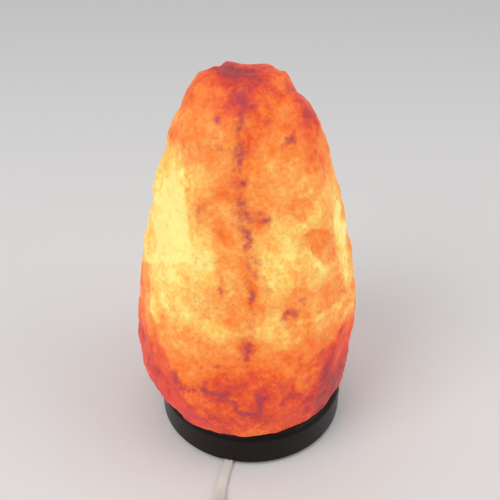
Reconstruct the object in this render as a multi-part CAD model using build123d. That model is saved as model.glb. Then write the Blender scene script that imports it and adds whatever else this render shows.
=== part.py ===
from build123d import *
import os
from math import atan, cos, degrees, pi, radians, sin, tan

# A salt crystal table lamp: a rough block of rock salt, bored from below, screwed to a turned wooden
# base. A lamp holder on a steel plate is pushed up into the bore and held there by two spring clips.
# A flat twin lead leaves through a groove under the base and ends, past an in-line dimmer and its
# coiled spare length, in a two-pin plug.
#
# Millimetres. Z is up and z = 0 is the table. The origin lies under the middle of the crystal, -Y is
# the front. The lamp's own axis, that of bore, base and bulb, stands BORE_OFFSET to the right of it,
# and every piece but the crystal is drawn about that axis and moved there by on_axis.

os.makedirs("parts", exist_ok=True)

# ---- crystal ----
CRYSTAL_HEIGHT = 212.0
CRYSTAL_WIDTH = 146.0        # before its faces are split and chipped
CRYSTAL_DEPTH = 141.0
BORE_OFFSET = 4.2
BORE_DIA = 46.0
BORE_DEPTH = 86.0            # above the base, to the crown of its rounded end
CHIP_COUNT = 56              # flats chipped off all over the rock
CHIP_DEPTH = (0.5, 2.2)      # least and greatest, at a chip's middle
CHIP_SHARES = (0.10, 0.96)   # of the rock's height, from the lowest chip to the highest
CHIP_TURN = 137.5            # from each chip's way of facing to the next one's
CHIP_TILT = 5.0              # greatest tip up or down of a chip against the wall
WALL_SPAN = 6.4              # over and under a chip's middle, where the wall's slope is taken

# ---- base ----
BASE_DIA = 124.0
BASE_HEIGHT = 24.0
BASE_TOP_ROUND = 5.0
BASE_FOOT_ROUND = 2.0
RECESS_DIA = 60.0
RECESS_DEPTH = 7.0
FOOT_DIA = 12.0
FOOT_HEIGHT = 2.0
FOOT_COUNT = 4
FOOT_EDGE_INSET = 12.0       # from the base's edge to a foot's middle

# ---- screws that hold the crystal to the base ----
SCREW_COUNT = 3
SCREW_EDGE_INSET = 20.0      # from the base's edge to a screw's middle
SCREW_SHANK_DIA = 4.0
SCREW_HEAD_DIA = 8.0
SCREW_HEAD_HEIGHT = 2.6
SCREW_LENGTH = 34.0
SCREW_SINK = 9.0             # how far its head lies inside the base
SCREW_HEAD_PLAY = 0.5
ANCHOR_DIA = 8.0
ANCHOR_LENGTH = 26.0

# ---- flat twin lead ----
CORD_WIDTH = 5.8
CORD_THICKNESS = 2.9
CORE_DIA = 2.3
GROOVE_ANGLE = 256.5         # of the groove under the base, from +X
GROOVE_PLAY = 1.0            # at each side of the lead and over it
FLOOR_GAP = 0.05
LEAD_START_INSET = 2.0       # of its first visible stretch, inside the base's edge
LEAD_STRAIGHT = 10.2         # out of the groove, past the base's edge
LEAD_BEND = (-18.9, -85.5)
TAIL_BEND = (57.0, -202.0, 7.2)
BOOT_RUN = 8.0               # straight into a boot
FEED_RUNS = (8.0, 10.0, 14.0)    # level out of the dimmer, down to the table, level to the coil

# ---- lamp holder ----
PLATE_DIA = 56.0
PLATE_THICKNESS = 1.0
SEAT_GAP = 0.3
FIT_GAP = 0.05
SOCKET_DIA = 22.0
SOCKET_BASE_HEIGHT = 14.0
SOCKET_WALL = 2.2
SOCKET_FLOOR = 2.0
SLEEVE_HEIGHT = 22.0
SLEEVE_FLOOR = 1.5
LUG_WIDTH = 9.0
LUG_THICKNESS = 3.0
LUG_REACH = 17.0
SOCKET_SCREW_REACH = 14.0
SOCKET_SCREW_DIA = 3.0
SOCKET_SCREW_HEAD_DIA = 5.4
SOCKET_SCREW_HEAD_HEIGHT = 1.8
DRIVER_SLOT = 0.8            # width and depth of the small screws' slots
GROMMET_DIA = 10.0
GROMMET_LIP = 1.2
GROMMET_LIP_HEIGHT = 0.5
CORD_RISE_END = 13.0         # height at which the lead's jacket ends in the holder

# ---- spring clips ----
CLIP_WIDTH = 9.0
CLIP_THICKNESS = 0.5
CLIP_LIFT = 0.5              # of its foot over the plate, on the rivet's shoulder
CLIP_FOOT_START = 12.0
CLIP_FOOT_END = 17.0
CLIP_BELLY_HEIGHT = 21.0     # over the foot
CLIP_TOP_HEIGHT = 32.0
CLIP_TOP_TUCK = 4.8          # how far the tip stands inside the belly
CLIP_BENDS = (1.2, 8.0)
CLIP_BELLY_ROOM = 0.3        # what the belly's round bend takes off its reach
CLIP_WALL_GAP = 0.3
RIVET_REACH = 14.2
RIVET_DIA = 3.0
RIVET_HEAD_DIA = 4.6
RIVET_HEAD_HEIGHT = 1.0
RIVET_PLAY = 0.3

# ---- bulb ----
CAP_DIA = 11.9               # over its thread
THREAD_PITCH = 2.54
THREAD_DEPTH = 0.7
THREAD_TURNS = 5
THREAD_PLAY = 0.2
SHEET = 0.35                 # of the threaded shells
BULB_LENGTH = 54.0
BULB_DIA = 22.2
GLASS_WALL = 0.7
CONTACT_GAP = 0.3
TIP_HEIGHT = 1.0
TIP_DIA = 3.6
INSULATOR_HEIGHT = 1.8
INSULATOR_LIP = 0.5
COLLAR_HEIGHT = 1.6
GLASS_SHOULDER_SHARE = 0.75  # of the bulb's half width
GLASS_SHOULDER_RISE = 7.5    # over the thread
GLASS_BELLY_SHARE = 1.0
GLASS_BELLY_RISE = 17.5
GLASS_CROWN_SHARE = 0.62
GLASS_CROWN_RISE = 32.2
STEM_HEIGHT = 12.0
STEM_DIA = 3.6
STEM_FLANGE = 1.5
FILAMENT_SPAN = 9.0
FILAMENT_RISE = 21.0         # over the thread
WIRE_DIA = 0.5
FILAMENT_WIRE_DIA = 0.3

# ---- contacts in the holder ----
CONTACT_WIDTH = 3.0
CONTACT_THICKNESS = 0.4
CONTACT_RISE = 1.2
CONTACT_RUNS = (2.1, 0.8, 3.7)   # flat under its rivet, up the slope, flat under the bulb
CONTACT_TAIL_LENGTH = 1.0    # of the first of these, behind the rivet
CONTACT_BEND = 0.3
CORE_BEND = 1.3
CORE_STRAIGHT = 1.2
LINE_RIVET_X = -2.4
NEUTRAL_RIVET_X = 4.2
CONTACT_RIVET_DIA = 1.6
CONTACT_RIVET_HEAD_HEIGHT = 0.4
CONTACT_RIVET_TAIL = 2.0

# ---- in-line dimmer ----
DIMMER_X = -20.0
DIMMER_START_Y = -108.0      # tip of its first boot
DIMMER_LENGTH = 66.0
DIMMER_WIDTH = 32.0
DIMMER_HEIGHT = 18.0
DIMMER_SPLIT = 7.0           # height of the joint between the shells, and of the lead
DIMMER_CORNER = 8.0
DIMMER_WALL = 1.8
DIMMER_TOP_ROUND = 3.0
DIMMER_FOOT_ROUND = 1.2
BOOT_LENGTH = 15.0
BOOT_NECK = (8.6, 5.6)
BOOT_SHOULDER = (10.4, 7.2)
BOOT_FLANGE = (11.4, 7.2)
BOOT_FLANGE_THICKNESS = 1.6
BOOT_TIP = (7.0, 4.2)
BOARD_WIDTH = 24.0
BOARD_LENGTH = 44.0
BOARD_THICKNESS = 1.6
BOARD_TOP = 6.0
BOSS_DIA = 4.0
TERMINAL_BLOCK = (9.0, 4.0, 4.0)
TRIAC = (10.0, 4.5, 8.6)
TRIAC_Y = 12.5
CAPACITOR = (13.0, 6.0, 8.0)
CAPACITOR_Y = -12.5
POT_DIA = 16.0
POT_HEIGHT = 5.4
POT_NECK_DIA = 8.0
SHAFT_DIA = 6.0
SHAFT_FOOT = 1.0             # its end over the board
POST_DIA = 6.0
POST_X = 10.8
POST_Y = 26.5
CASE_SCREW_DIA = 2.9
CASE_SCREW_HEAD_DIA = 5.2
CASE_SCREW_HEAD_HEIGHT = 1.8
CASE_SCREW_SINK = 1.2
CASE_SCREW_LENGTH = 11.0
KNOB_DIA = 25.0
KNOB_HEIGHT = 6.5
KNOB_GAP = 0.3
KNOB_RIBS = 24
KNOB_RIB_DIA = 1.8
KNOB_TOP = 1.8
POINTER = (1.6, 7.0, 0.6)

# ---- coil of spare lead ----
COIL_OUTER_RADIUS = 40.0     # of the lead's middle line in its outermost half turn
COIL_PITCH = 6.3
COIL_LAYER_PITCH = 3.4
COIL_HALF_TURNS = 8          # in each of its two layers
COIL_LIFT = 0.9              # the tie passes under it
TIE_WIDTH = 8.0
TIE_THICKNESS = 0.5
TIE_PLAY = 0.3
TIE_ROUND = 1.4

# ---- plug ----
PLUG_TIP_X = 54.0
PLUG_TIP_Y = -176.0
PLUG_BOOT_LENGTH = 22.0
PLUG_BODY = (24.0, 16.0, 28.0)
PLUG_CORNER = 5.0
PLUG_EDGE = 1.2
PLUG_SHOULDER = (14.0, 11.0)
PLUG_SHOULDER_CORNER = 4.0
BLADE_SPACING = 12.7
BLADE_THICKNESS = 1.5
BLADE_LENGTH = 17.5
BLADE_ROOT = 10.0
LINE_BLADE_WIDTH = 6.35
NEUTRAL_BLADE_WIDTH = 7.94
BLADE_HOLE_DIA = 3.0
BLADE_HOLE_FROM_TIP = 4.0

# ---- heights that follow from these ----
BASE_TOP = FOOT_HEIGHT + BASE_HEIGHT
RECESS_TOP = FOOT_HEIGHT + RECESS_DEPTH
PLATE_TOP = RECESS_TOP - SEAT_GAP
PLATE_FOOT = PLATE_TOP - PLATE_THICKNESS
SOCKET_SPLIT = PLATE_TOP + SOCKET_BASE_HEIGHT
SLEEVE_TOP = SOCKET_SPLIT + SLEEVE_HEIGHT
SHELL_FOOT = SOCKET_SPLIT + SLEEVE_FLOOR
CONTACT_TOP = SHELL_FOOT + CONTACT_RISE + CONTACT_THICKNESS
BULB_FOOT = CONTACT_TOP + CONTACT_GAP
BULB_TOP = BULB_FOOT + BULB_LENGTH
CAP_FOOT = BULB_FOOT + TIP_HEIGHT + INSULATOR_HEIGHT
THREAD_TOP = CAP_FOOT + THREAD_TURNS * THREAD_PITCH
FILAMENT_LEVEL = THREAD_TOP + FILAMENT_RISE
THREAD_RADIUS = CAP_DIA / 2 - THREAD_DEPTH / 2
CORD_LEVEL = CORD_THICKNESS / 2 + FLOOR_GAP
COIL_LEVEL = CORD_THICKNESS / 2 + COIL_LIFT
BORE_STRAIGHT = BORE_DEPTH - BORE_DIA / 2
DIMMER_Y = DIMMER_START_Y - BOOT_LENGTH - DIMMER_LENGTH / 2
DIMMER_END_Y = DIMMER_START_Y - 2 * BOOT_LENGTH - DIMMER_LENGTH
COIL_START_Y = DIMMER_END_Y - sum(FEED_RUNS)
COIL_Y = COIL_START_Y - CORD_WIDTH
COIL_START_X = DIMMER_X
COIL_CLIMB_RADIUS = COIL_OUTER_RADIUS - COIL_PITCH / 2 * COIL_HALF_TURNS
COIL_CLIMB_REACH = ((2 * COIL_CLIMB_RADIUS) ** 2 - COIL_LAYER_PITCH ** 2) ** 0.5
COIL_END_X = COIL_START_X + 2 * (COIL_OUTER_RADIUS - COIL_CLIMB_RADIUS) + COIL_CLIMB_REACH
PLUG_LEVEL = PLUG_BODY[1] / 2

FULL_TURN = 360.0
UPRIGHT = (Align.CENTER, Align.CENTER, Align.MIN)
on_axis = Pos(BORE_OFFSET, 0, 0)


def rod(diameter, low, high, x=0.0, y=0.0):
    """An upright round solid between two heights."""
    return Pos(x, y, low) * Cylinder(diameter / 2, high - low, align=UPRIGHT)


def block(size, x=0.0, y=0.0, low=0.0):
    """An upright box that stands on a height."""
    return Pos(x, y, low) * Box(*size, align=UPRIGHT)


def at_radius(radius, angle):
    """The point at a distance and an angle from the lamp's axis."""
    return radius * cos(radians(angle)), radius * sin(radians(angle))


def around(count, radius, start=0.0):
    """Points spaced evenly on a circle about the lamp's axis."""
    return [at_radius(radius, start + FULL_TURN * i / count) for i in range(count)]


def group(pieces):
    """Separate solids that share one node."""
    return Compound([solid for piece in pieces for solid in piece.solids()])


def save(name, shape):
    export_step(shape, f"parts/{name}.step")


# ---- crystal -------------------------------------------------------------------------------------
# Rings from the crystal's foot to its crown. Each gives its height as a share of the crystal's, and how
# far the rock reaches left, right, front and back as shares of half its width and depth.
CRYSTAL_RINGS = [
    (0.00, 0.76, 0.91, 0.87, 0.88),
    (0.03, 0.82, 0.93, 0.92, 0.92),
    (0.09, 0.94, 0.94, 0.98, 0.97),
    (0.18, 1.00, 0.97, 1.00, 1.00),
    (0.30, 0.95, 1.00, 0.96, 0.98),
    (0.42, 0.88, 0.94, 0.88, 0.93),
    (0.54, 0.81, 0.86, 0.80, 0.86),
    (0.66, 0.73, 0.79, 0.71, 0.76),
    (0.77, 0.66, 0.70, 0.62, 0.65),
    (0.87, 0.54, 0.60, 0.52, 0.52),
    (0.94, 0.43, 0.44, 0.41, 0.40),
    (0.98, 0.34, 0.33, 0.30, 0.28),
    (1.00, 0.24, 0.23, 0.17, 0.16),
]
CRYSTAL_SIDES = 20
ROUGHNESS = 0.014            # how far its flats wander in and out, as a share
# Faces split off the block: the way each looks round from +X and up from level, and its distance from
# the crystal's middle at the height given as a share.
SPLIT_FACES = [
    (207.0, -12.0, 70.0, 0.16),
    (326.0, -14.0, 71.0, 0.16),
    (292.0, 14.0, 57.0, 0.52),
    (243.0, 13.0, 56.0, 0.56),
    (38.0, -8.0, 65.0, 0.20),
    (118.0, 10.0, 60.5, 0.50),
    (158.0, 20.0, 52.0, 0.66),
]


def reach_towards(azimuth, share):
    """How far the block reaches towards an azimuth at a share of its height."""
    for low, high in zip(CRYSTAL_RINGS, CRYSTAL_RINGS[1:]):
        if share <= high[0]:
            break
    part = (share - low[0]) / (high[0] - low[0])
    left, right, front, back = [a + (b - a) * part for a, b in zip(low[1:], high[1:])]
    x, y = at_radius(1.0, azimuth)
    across = (right if x > 0 else left) * CRYSTAL_WIDTH / 2
    along = (back if y > 0 else front) * CRYSTAL_DEPTH / 2
    return ((across * x) ** 2 + (along * y) ** 2) ** 0.5


def chipped_faces():
    """Chips that climb round the rock, each on the wall's slope but tipped and sunk by its own amount."""
    faces = []
    least, greatest = CHIP_DEPTH
    low, high = CHIP_SHARES
    step = WALL_SPAN / CRYSTAL_HEIGHT
    for i in range(CHIP_COUNT):
        azimuth = CHIP_TURN * i
        share = low + (high - low) * (i + 0.5) / CHIP_COUNT
        depth = (least + greatest) / 2 + (greatest - least) / 2 * sin(2.4 * i + 1)
        fall = reach_towards(azimuth, share - step) - reach_towards(azimuth, share + step)
        rise = degrees(atan(fall / (2 * WALL_SPAN))) + CHIP_TILT * sin(1.7 * i)
        distance = reach_towards(azimuth, share) - depth / cos(radians(rise))
        faces.append((azimuth, rise, distance, share))
    return faces


def crystal_ring(share, left, right, front, back):
    """One closed outline of the block: four quarter ovals with flats that wander a little."""
    points = []
    for i in range(CRYSTAL_SIDES):
        angle = 2 * pi * i / CRYSTAL_SIDES
        across = (right if cos(angle) > 0 else left) * CRYSTAL_WIDTH / 2
        along = (back if sin(angle) > 0 else front) * CRYSTAL_DEPTH / 2
        wander = ROUGHNESS * sin(2 * angle) * sin(5 * angle + 9 * share)
        points.append((across * cos(angle) * (1 + wander), along * sin(angle) * (1 + wander)))
    outline = Polyline(*points, close=True)
    return Pos(0, 0, BASE_TOP + share * CRYSTAL_HEIGHT) * make_face(outline)


def bore_solid(low):
    """The round-ended hole bored up the lamp's axis, from a height below it."""
    straight = rod(BORE_DIA, low, BASE_TOP + BORE_STRAIGHT)
    return straight + Pos(0, 0, BASE_TOP + BORE_STRAIGHT) * Sphere(BORE_DIA / 2)


def screw_places():
    return around(SCREW_COUNT, BASE_DIA / 2 - SCREW_EDGE_INSET, 90)


def salt_crystal():
    block_of_salt = loft([crystal_ring(*ring) for ring in CRYSTAL_RINGS], ruled=True)
    for azimuth, rise, distance, share in SPLIT_FACES + chipped_faces():
        outward = Vector(
            cos(radians(azimuth)) * cos(radians(rise)),
            sin(radians(azimuth)) * cos(radians(rise)),
            sin(radians(rise)),
        )
        x, y = at_radius(distance, azimuth)
        face = Plane((x, y, BASE_TOP + share * CRYSTAL_HEIGHT), z_dir=outward)
        block_of_salt = split(block_of_salt, bisect_by=face, keep=Keep.BOTTOM)
    block_of_salt -= on_axis * bore_solid(BASE_TOP - 1)
    for x, y in screw_places():
        hole = rod(ANCHOR_DIA + 2 * FIT_GAP, BASE_TOP - 1, BASE_TOP + ANCHOR_LENGTH + SEAT_GAP, x, y)
        block_of_salt -= on_axis * hole
    return block_of_salt


# ---- base ----------------------------------------------------------------------------------------
def wooden_base():
    disc = rod(BASE_DIA, FOOT_HEIGHT, BASE_TOP)
    disc = fillet(disc.edges().group_by(Axis.Z)[-1], BASE_TOP_ROUND)
    disc = fillet(disc.edges().group_by(Axis.Z)[0], BASE_FOOT_ROUND)
    disc -= rod(BORE_DIA, 0, BASE_TOP + 1)
    disc -= rod(RECESS_DIA, 0, RECESS_TOP)
    groove = (BASE_DIA, CORD_WIDTH + 2 * GROOVE_PLAY, CORD_LEVEL + CORD_THICKNESS / 2 + GROOVE_PLAY)
    x, y = at_radius(BASE_DIA / 2, GROOVE_ANGLE)
    disc -= Pos(x, y, 0) * Rot(0, 0, GROOVE_ANGLE) * Box(*groove, align=UPRIGHT)
    for x, y in screw_places():
        disc -= rod(SCREW_HEAD_DIA + 2 * SCREW_HEAD_PLAY, 0, FOOT_HEIGHT + SCREW_SINK, x, y)
        disc -= rod(SCREW_SHANK_DIA + 2 * FIT_GAP, 0, BASE_TOP + 1, x, y)
    return disc


def base_screws():
    head_top = FOOT_HEIGHT + SCREW_SINK
    screws = []
    for x, y in screw_places():
        head = rod(SCREW_HEAD_DIA, head_top - SCREW_HEAD_HEIGHT, head_top, x, y)
        slot = Pos(x, y, head_top - SCREW_HEAD_HEIGHT)
        head -= slot * Box(SCREW_HEAD_DIA / 2, 1, SCREW_HEAD_HEIGHT)
        head -= slot * Box(1, SCREW_HEAD_DIA / 2, SCREW_HEAD_HEIGHT)
        screws.append(head + rod(SCREW_SHANK_DIA, head_top, head_top + SCREW_LENGTH, x, y))
    return group(screws)


def screw_anchors():
    anchors = []
    for x, y in screw_places():
        anchor = rod(ANCHOR_DIA, BASE_TOP, BASE_TOP + ANCHOR_LENGTH, x, y)
        hole = rod(SCREW_SHANK_DIA + 2 * FIT_GAP, 0, BASE_TOP + ANCHOR_LENGTH - 0.5, x, y)
        anchors.append(anchor - hole)
    return group(anchors)


def rubber_feet():
    feet = []
    for x, y in around(FOOT_COUNT, BASE_DIA / 2 - FOOT_EDGE_INSET, 45):
        foot = rod(FOOT_DIA, 0, FOOT_HEIGHT, x, y)
        feet.append(fillet(foot.edges().group_by(Axis.Z)[0], FOOT_HEIGHT / 4))
    return group(feet)


# ---- lead ----------------------------------------------------------------------------------------
def route_radii(route, name):
    """Each corner's arc, as large as its two runs allow, and its printed list."""
    radii = []
    for before, corner, after in zip(route, route[1:], route[2:]):
        arrive = Vector(*corner) - Vector(*before)
        leave = Vector(*after) - Vector(*corner)
        half_turn = radians(arrive.get_angle(leave)) / 2
        radii.append(0.45 * min(arrive.length, leave.length) / tan(half_turn))
    print(name, "radii:", [round(radius, 1) for radius in radii])
    return radii


def flat_section(start, along):
    """The lead's outline, square to the way it starts, with its broad side level."""
    return Plane(start, x_dir=Vector(0, 0, 1).cross(along), z_dir=along) * SlotOverall(
        CORD_WIDTH, CORD_THICKNESS
    )


def flat_lead(path, name, guide=None):
    """The flat twin lead along a path, and its printed volume check."""
    section = flat_section(path @ 0, path % 0)
    lead = sweep(section, path=path, binormal=guide)
    share = lead.volume / section.area / path.length
    print(name, "length", round(path.length, 1), "volume share", round(share, 4))
    return lead


def route_lead(route, name):
    return flat_lead(FilletPolyline(*route, radius=route_radii(route, name)), name)


LEAD_START = at_radius(BASE_DIA / 2 - LEAD_START_INSET, GROOVE_ANGLE)
LEAD_ROUTE = [
    (*LEAD_START, CORD_LEVEL),
    (*at_radius(BASE_DIA / 2 + LEAD_STRAIGHT, GROOVE_ANGLE), CORD_LEVEL),
    (*LEAD_BEND, CORD_LEVEL),
    (DIMMER_X, DIMMER_START_Y + BOOT_RUN, DIMMER_SPLIT),
    (DIMMER_X, DIMMER_START_Y, DIMMER_SPLIT),
]
FEED_ROUTE = [
    (DIMMER_X, DIMMER_END_Y, DIMMER_SPLIT),
    (DIMMER_X, DIMMER_END_Y - FEED_RUNS[0], DIMMER_SPLIT),
    (DIMMER_X, COIL_START_Y + FEED_RUNS[2], COIL_LEVEL),
    (COIL_START_X, COIL_START_Y, COIL_LEVEL),
]
TAIL_ROUTE = [
    (COIL_END_X, COIL_START_Y, COIL_LEVEL + COIL_LAYER_PITCH),
    (COIL_END_X, COIL_START_Y + BOOT_RUN, COIL_LEVEL + COIL_LAYER_PITCH),
    TAIL_BEND,
    (PLUG_TIP_X, PLUG_TIP_Y - BOOT_RUN, PLUG_LEVEL),
    (PLUG_TIP_X, PLUG_TIP_Y, PLUG_LEVEL),
]


def cord_in_base():
    """The stretch under the base: in along the groove, then up through the plate."""
    bend = CORD_WIDTH
    x, y = LEAD_START
    path = FilletPolyline((0, 0, CORD_RISE_END), (0, 0, CORD_LEVEL), (x, y, CORD_LEVEL), radius=bend)
    section = Plane((0, 0, CORD_RISE_END), x_dir=(-y, x, 0), z_dir=(0, 0, -1)) * SlotOverall(
        CORD_WIDTH, CORD_THICKNESS
    )
    lead = sweep(section, path=path)
    print("cord_in_base volume share", round(lead.volume / section.area / path.length, 4))
    return lead


def coil_path():
    """Half turns that spiral in, one that climbs a layer, and half turns that spiral out again."""
    x = COIL_START_X
    level = COIL_LEVEL
    side = 1                     # 1: bound for the right-hand side, through the front
    pieces = [Line((x, COIL_START_Y, level), (x, COIL_Y, level))]
    inward = [COIL_OUTER_RADIUS - COIL_PITCH / 2 * i for i in range(COIL_HALF_TURNS)]
    for radius in inward + [COIL_CLIMB_RADIUS] + inward[::-1]:
        climbs = radius == COIL_CLIMB_RADIUS
        rise = COIL_LAYER_PITCH if climbs else 0.0
        far = x + side * (COIL_CLIMB_REACH if climbs else 2 * radius)
        middle = ((x + far) / 2, COIL_Y - side * radius, level + rise / 2)
        pieces.append(ThreePointArc((x, COIL_Y, level), middle, (far, COIL_Y, level + rise)))
        x = far
        level += rise
        side = -side
    pieces.append(Line((x, COIL_Y, level), (x, COIL_START_Y, level)))
    return Wire([edge for piece in pieces for edge in piece.edges()])


def coil_gap(path, samples=1600):
    """The least distance between two turns' surfaces, from points on the middle line."""
    step = path.length / samples
    reach = int(pi * COIL_OUTER_RADIUS / 3 / step)
    points = [path @ (i / samples) for i in range(samples + 1)]
    least = COIL_PITCH
    for i, here in enumerate(points):
        for there in points[i + reach::3]:
            level = ((here.X - there.X) ** 2 + (here.Y - there.Y) ** 2) ** 0.5
            if level > 2 * COIL_PITCH:
                continue
            beside = max(level - (CORD_WIDTH - CORD_THICKNESS), 0)
            over = abs(here.Z - there.Z)
            least = min(least, (beside ** 2 + over ** 2) ** 0.5 - CORD_THICKNESS)
    return least


def cord_coil():
    """The coiled lead. A guide just over it keeps its broad side level on the climb."""
    path = coil_path()
    print("coil least gap", round(coil_gap(path), 2))
    return flat_lead(path, "cord_coil", guide=Pos(0, 0, COIL_PITCH) * path)


def cord_tie():
    """A strap round the coil's turns on the side towards the dimmer."""
    middle_x = (COIL_START_X + COIL_END_X) / 2
    outer = COIL_OUTER_RADIUS - COIL_PITCH / 2 + CORD_WIDTH / 2 + TIE_PLAY
    innermost = COIL_OUTER_RADIUS - COIL_PITCH / 2 * (COIL_HALF_TURNS - 1)
    sideways = TIE_WIDTH / 2 + COIL_PITCH / 2
    inner = (innermost ** 2 - sideways ** 2) ** 0.5 - CORD_WIDTH / 2 - 2 * TIE_PLAY
    low = COIL_LIFT - TIE_PLAY
    high = COIL_LEVEL + COIL_LAYER_PITCH + CORD_THICKNESS / 2 + TIE_PLAY
    middle = (middle_x, COIL_Y + (inner + outer) / 2, (low + high) / 2)
    across = Plane(middle, x_dir=(0, 1, 0), z_dir=(1, 0, 0))
    hole = RectangleRounded(outer - inner, high - low, TIE_ROUND)
    band = RectangleRounded(
        outer - inner + 2 * TIE_THICKNESS, high - low + 2 * TIE_THICKNESS, TIE_ROUND + TIE_THICKNESS
    )
    strap = extrude(across * (band - hole), TIE_WIDTH / 2, both=True)
    lap = (TIE_WIDTH, (outer - inner) / 2, TIE_THICKNESS)
    return strap + block(lap, middle_x, middle[1], high + TIE_THICKNESS)


# ---- lamp holder ---------------------------------------------------------------------------------
def rivet_places():
    return [(RIVET_REACH, 0), (-RIVET_REACH, 0)]


def socket_screw_places():
    return [(0, SOCKET_SCREW_REACH), (0, -SOCKET_SCREW_REACH)]


def mounting_plate():
    plate = rod(PLATE_DIA, PLATE_FOOT, PLATE_TOP)
    plate -= rod(GROMMET_DIA + 2 * FIT_GAP, 0, PLATE_TOP + 1)
    for x, y in rivet_places():
        plate -= rod(RIVET_DIA + 2 * FIT_GAP, 0, PLATE_TOP + 1, x, y)
    for x, y in socket_screw_places():
        plate -= rod(SOCKET_SCREW_DIA + 2 * FIT_GAP, 0, PLATE_TOP + 1, x, y)
    return plate


def cord_grommet():
    grommet = rod(GROMMET_DIA, PLATE_FOOT, PLATE_TOP)
    lip = GROMMET_DIA + 2 * GROMMET_LIP
    grommet += rod(lip, PLATE_FOOT - GROMMET_LIP_HEIGHT, PLATE_FOOT)
    grommet += rod(lip, PLATE_TOP, PLATE_TOP + GROMMET_LIP_HEIGHT)
    slot = SlotOverall(CORD_WIDTH + 4 * FIT_GAP, CORD_THICKNESS + 4 * FIT_GAP)
    return grommet - Rot(0, 0, GROOVE_ANGLE + 90) * extrude(slot, PLATE_TOP + 1)


def wire_holes(low, high):
    """Holes for the two contact rivets through the holder's floors."""
    dia = CONTACT_RIVET_DIA + 2 * FIT_GAP
    return rod(dia, low, high, LINE_RIVET_X) + rod(dia, low, high, NEUTRAL_RIVET_X)


def socket_base():
    body = rod(SOCKET_DIA, PLATE_TOP, SOCKET_SPLIT)
    lugs = extrude(Rot(0, 0, 90) * SlotOverall(2 * LUG_REACH, LUG_WIDTH), LUG_THICKNESS)
    body += Pos(0, 0, PLATE_TOP) * lugs
    body -= rod(SOCKET_DIA - 2 * SOCKET_WALL, PLATE_TOP - 1, SOCKET_SPLIT - SOCKET_FLOOR)
    for x, y in socket_screw_places():
        body -= rod(SOCKET_SCREW_DIA + 2 * FIT_GAP, 0, PLATE_TOP + LUG_THICKNESS + 1, x, y)
    return body - wire_holes(PLATE_TOP, SOCKET_SPLIT + 1)


def socket_sleeve():
    body = rod(SOCKET_DIA, SOCKET_SPLIT, SLEEVE_TOP)
    shell_radius = THREAD_RADIUS + THREAD_DEPTH / 2 + THREAD_PLAY + SHEET + FIT_GAP
    body -= rod(2 * shell_radius, SHELL_FOOT, SLEEVE_TOP + 1)
    body = chamfer(body.edges().group_by(Axis.Z)[-1], SOCKET_WALL / 3)
    return body - wire_holes(0, SLEEVE_TOP)


def socket_screws():
    screws = []
    for x, y in socket_screw_places():
        head = rod(SOCKET_SCREW_HEAD_DIA, PLATE_FOOT - SOCKET_SCREW_HEAD_HEIGHT, PLATE_FOOT, x, y)
        head = fillet(head.edges().group_by(Axis.Z)[0], SOCKET_SCREW_HEAD_HEIGHT / 3)
        slot = (SOCKET_SCREW_HEAD_DIA, DRIVER_SLOT, DRIVER_SLOT)
        head -= block(slot, x, y, PLATE_FOOT - SOCKET_SCREW_HEAD_HEIGHT)
        screws.append(head + rod(SOCKET_SCREW_DIA, PLATE_FOOT, PLATE_TOP + LUG_THICKNESS, x, y))
    return group(screws)


def clip_rivets():
    rivets = []
    foot_top = PLATE_TOP + CLIP_LIFT + CLIP_THICKNESS + FIT_GAP
    for x, y in rivet_places():
        low_head = rod(RIVET_HEAD_DIA, PLATE_FOOT - RIVET_HEAD_HEIGHT, PLATE_FOOT, x, y)
        high_head = rod(RIVET_HEAD_DIA, foot_top, foot_top + RIVET_HEAD_HEIGHT, x, y)
        rivets.append(low_head + high_head + rod(RIVET_DIA, PLATE_FOOT, foot_top, x, y))
    return group(rivets)


def strip(points, radii, width, thickness):
    """A bent strip of sheet in the XZ plane, as wide in Y as it says."""
    path = FilletPolyline(*points, radius=radii)
    section = Plane(path @ 0, x_dir=(0, 1, 0), z_dir=path % 0) * Rectangle(width, thickness)
    return sweep(section, path=path)


def spring_clip():
    """The right-hand clip: its foot on the plate, its belly just inside the bore's wall."""
    foot = PLATE_TOP + CLIP_LIFT + CLIP_THICKNESS / 2
    belly = BORE_DIA / 2 - CLIP_WALL_GAP - CLIP_THICKNESS / 2
    points = [
        (CLIP_FOOT_START, 0, foot),
        (CLIP_FOOT_END, 0, foot),
        (belly + CLIP_BELLY_ROOM, 0, foot + CLIP_BELLY_HEIGHT),
        (belly - CLIP_TOP_TUCK, 0, foot + CLIP_TOP_HEIGHT),
    ]
    clip = strip(points, CLIP_BENDS, CLIP_WIDTH, CLIP_THICKNESS)
    return clip - rod(RIVET_DIA + 2 * RIVET_PLAY, 0, foot + 2, RIVET_REACH)


def centre_contact():
    middle = SHELL_FOOT + CONTACT_THICKNESS / 2
    start = LINE_RIVET_X - CONTACT_TAIL_LENGTH
    flat, slope, tongue = CONTACT_RUNS
    points = [
        (start, 0, middle),
        (start + flat, 0, middle),
        (start + flat + slope, 0, middle + CONTACT_RISE),
        (start + flat + slope + tongue, 0, middle + CONTACT_RISE),
    ]
    contact = strip(points, CONTACT_BEND, CONTACT_WIDTH, CONTACT_THICKNESS)
    return contact - wire_holes(SHELL_FOOT - 1, SHELL_FOOT + CONTACT_THICKNESS + 0.1)


def contact_rivets():
    rivets = []
    seats = [(LINE_RIVET_X, SHELL_FOOT + CONTACT_THICKNESS), (NEUTRAL_RIVET_X, SHELL_FOOT + SHEET)]
    foot = SOCKET_SPLIT - SOCKET_FLOOR - CONTACT_RIVET_TAIL
    for x, seat in seats:
        head = rod(CONTACT_RIVET_DIA + 0.3, seat, seat + CONTACT_RIVET_HEAD_HEIGHT, x)
        rivets.append(head + rod(CONTACT_RIVET_DIA, foot, seat, x))
    return group(rivets)


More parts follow.
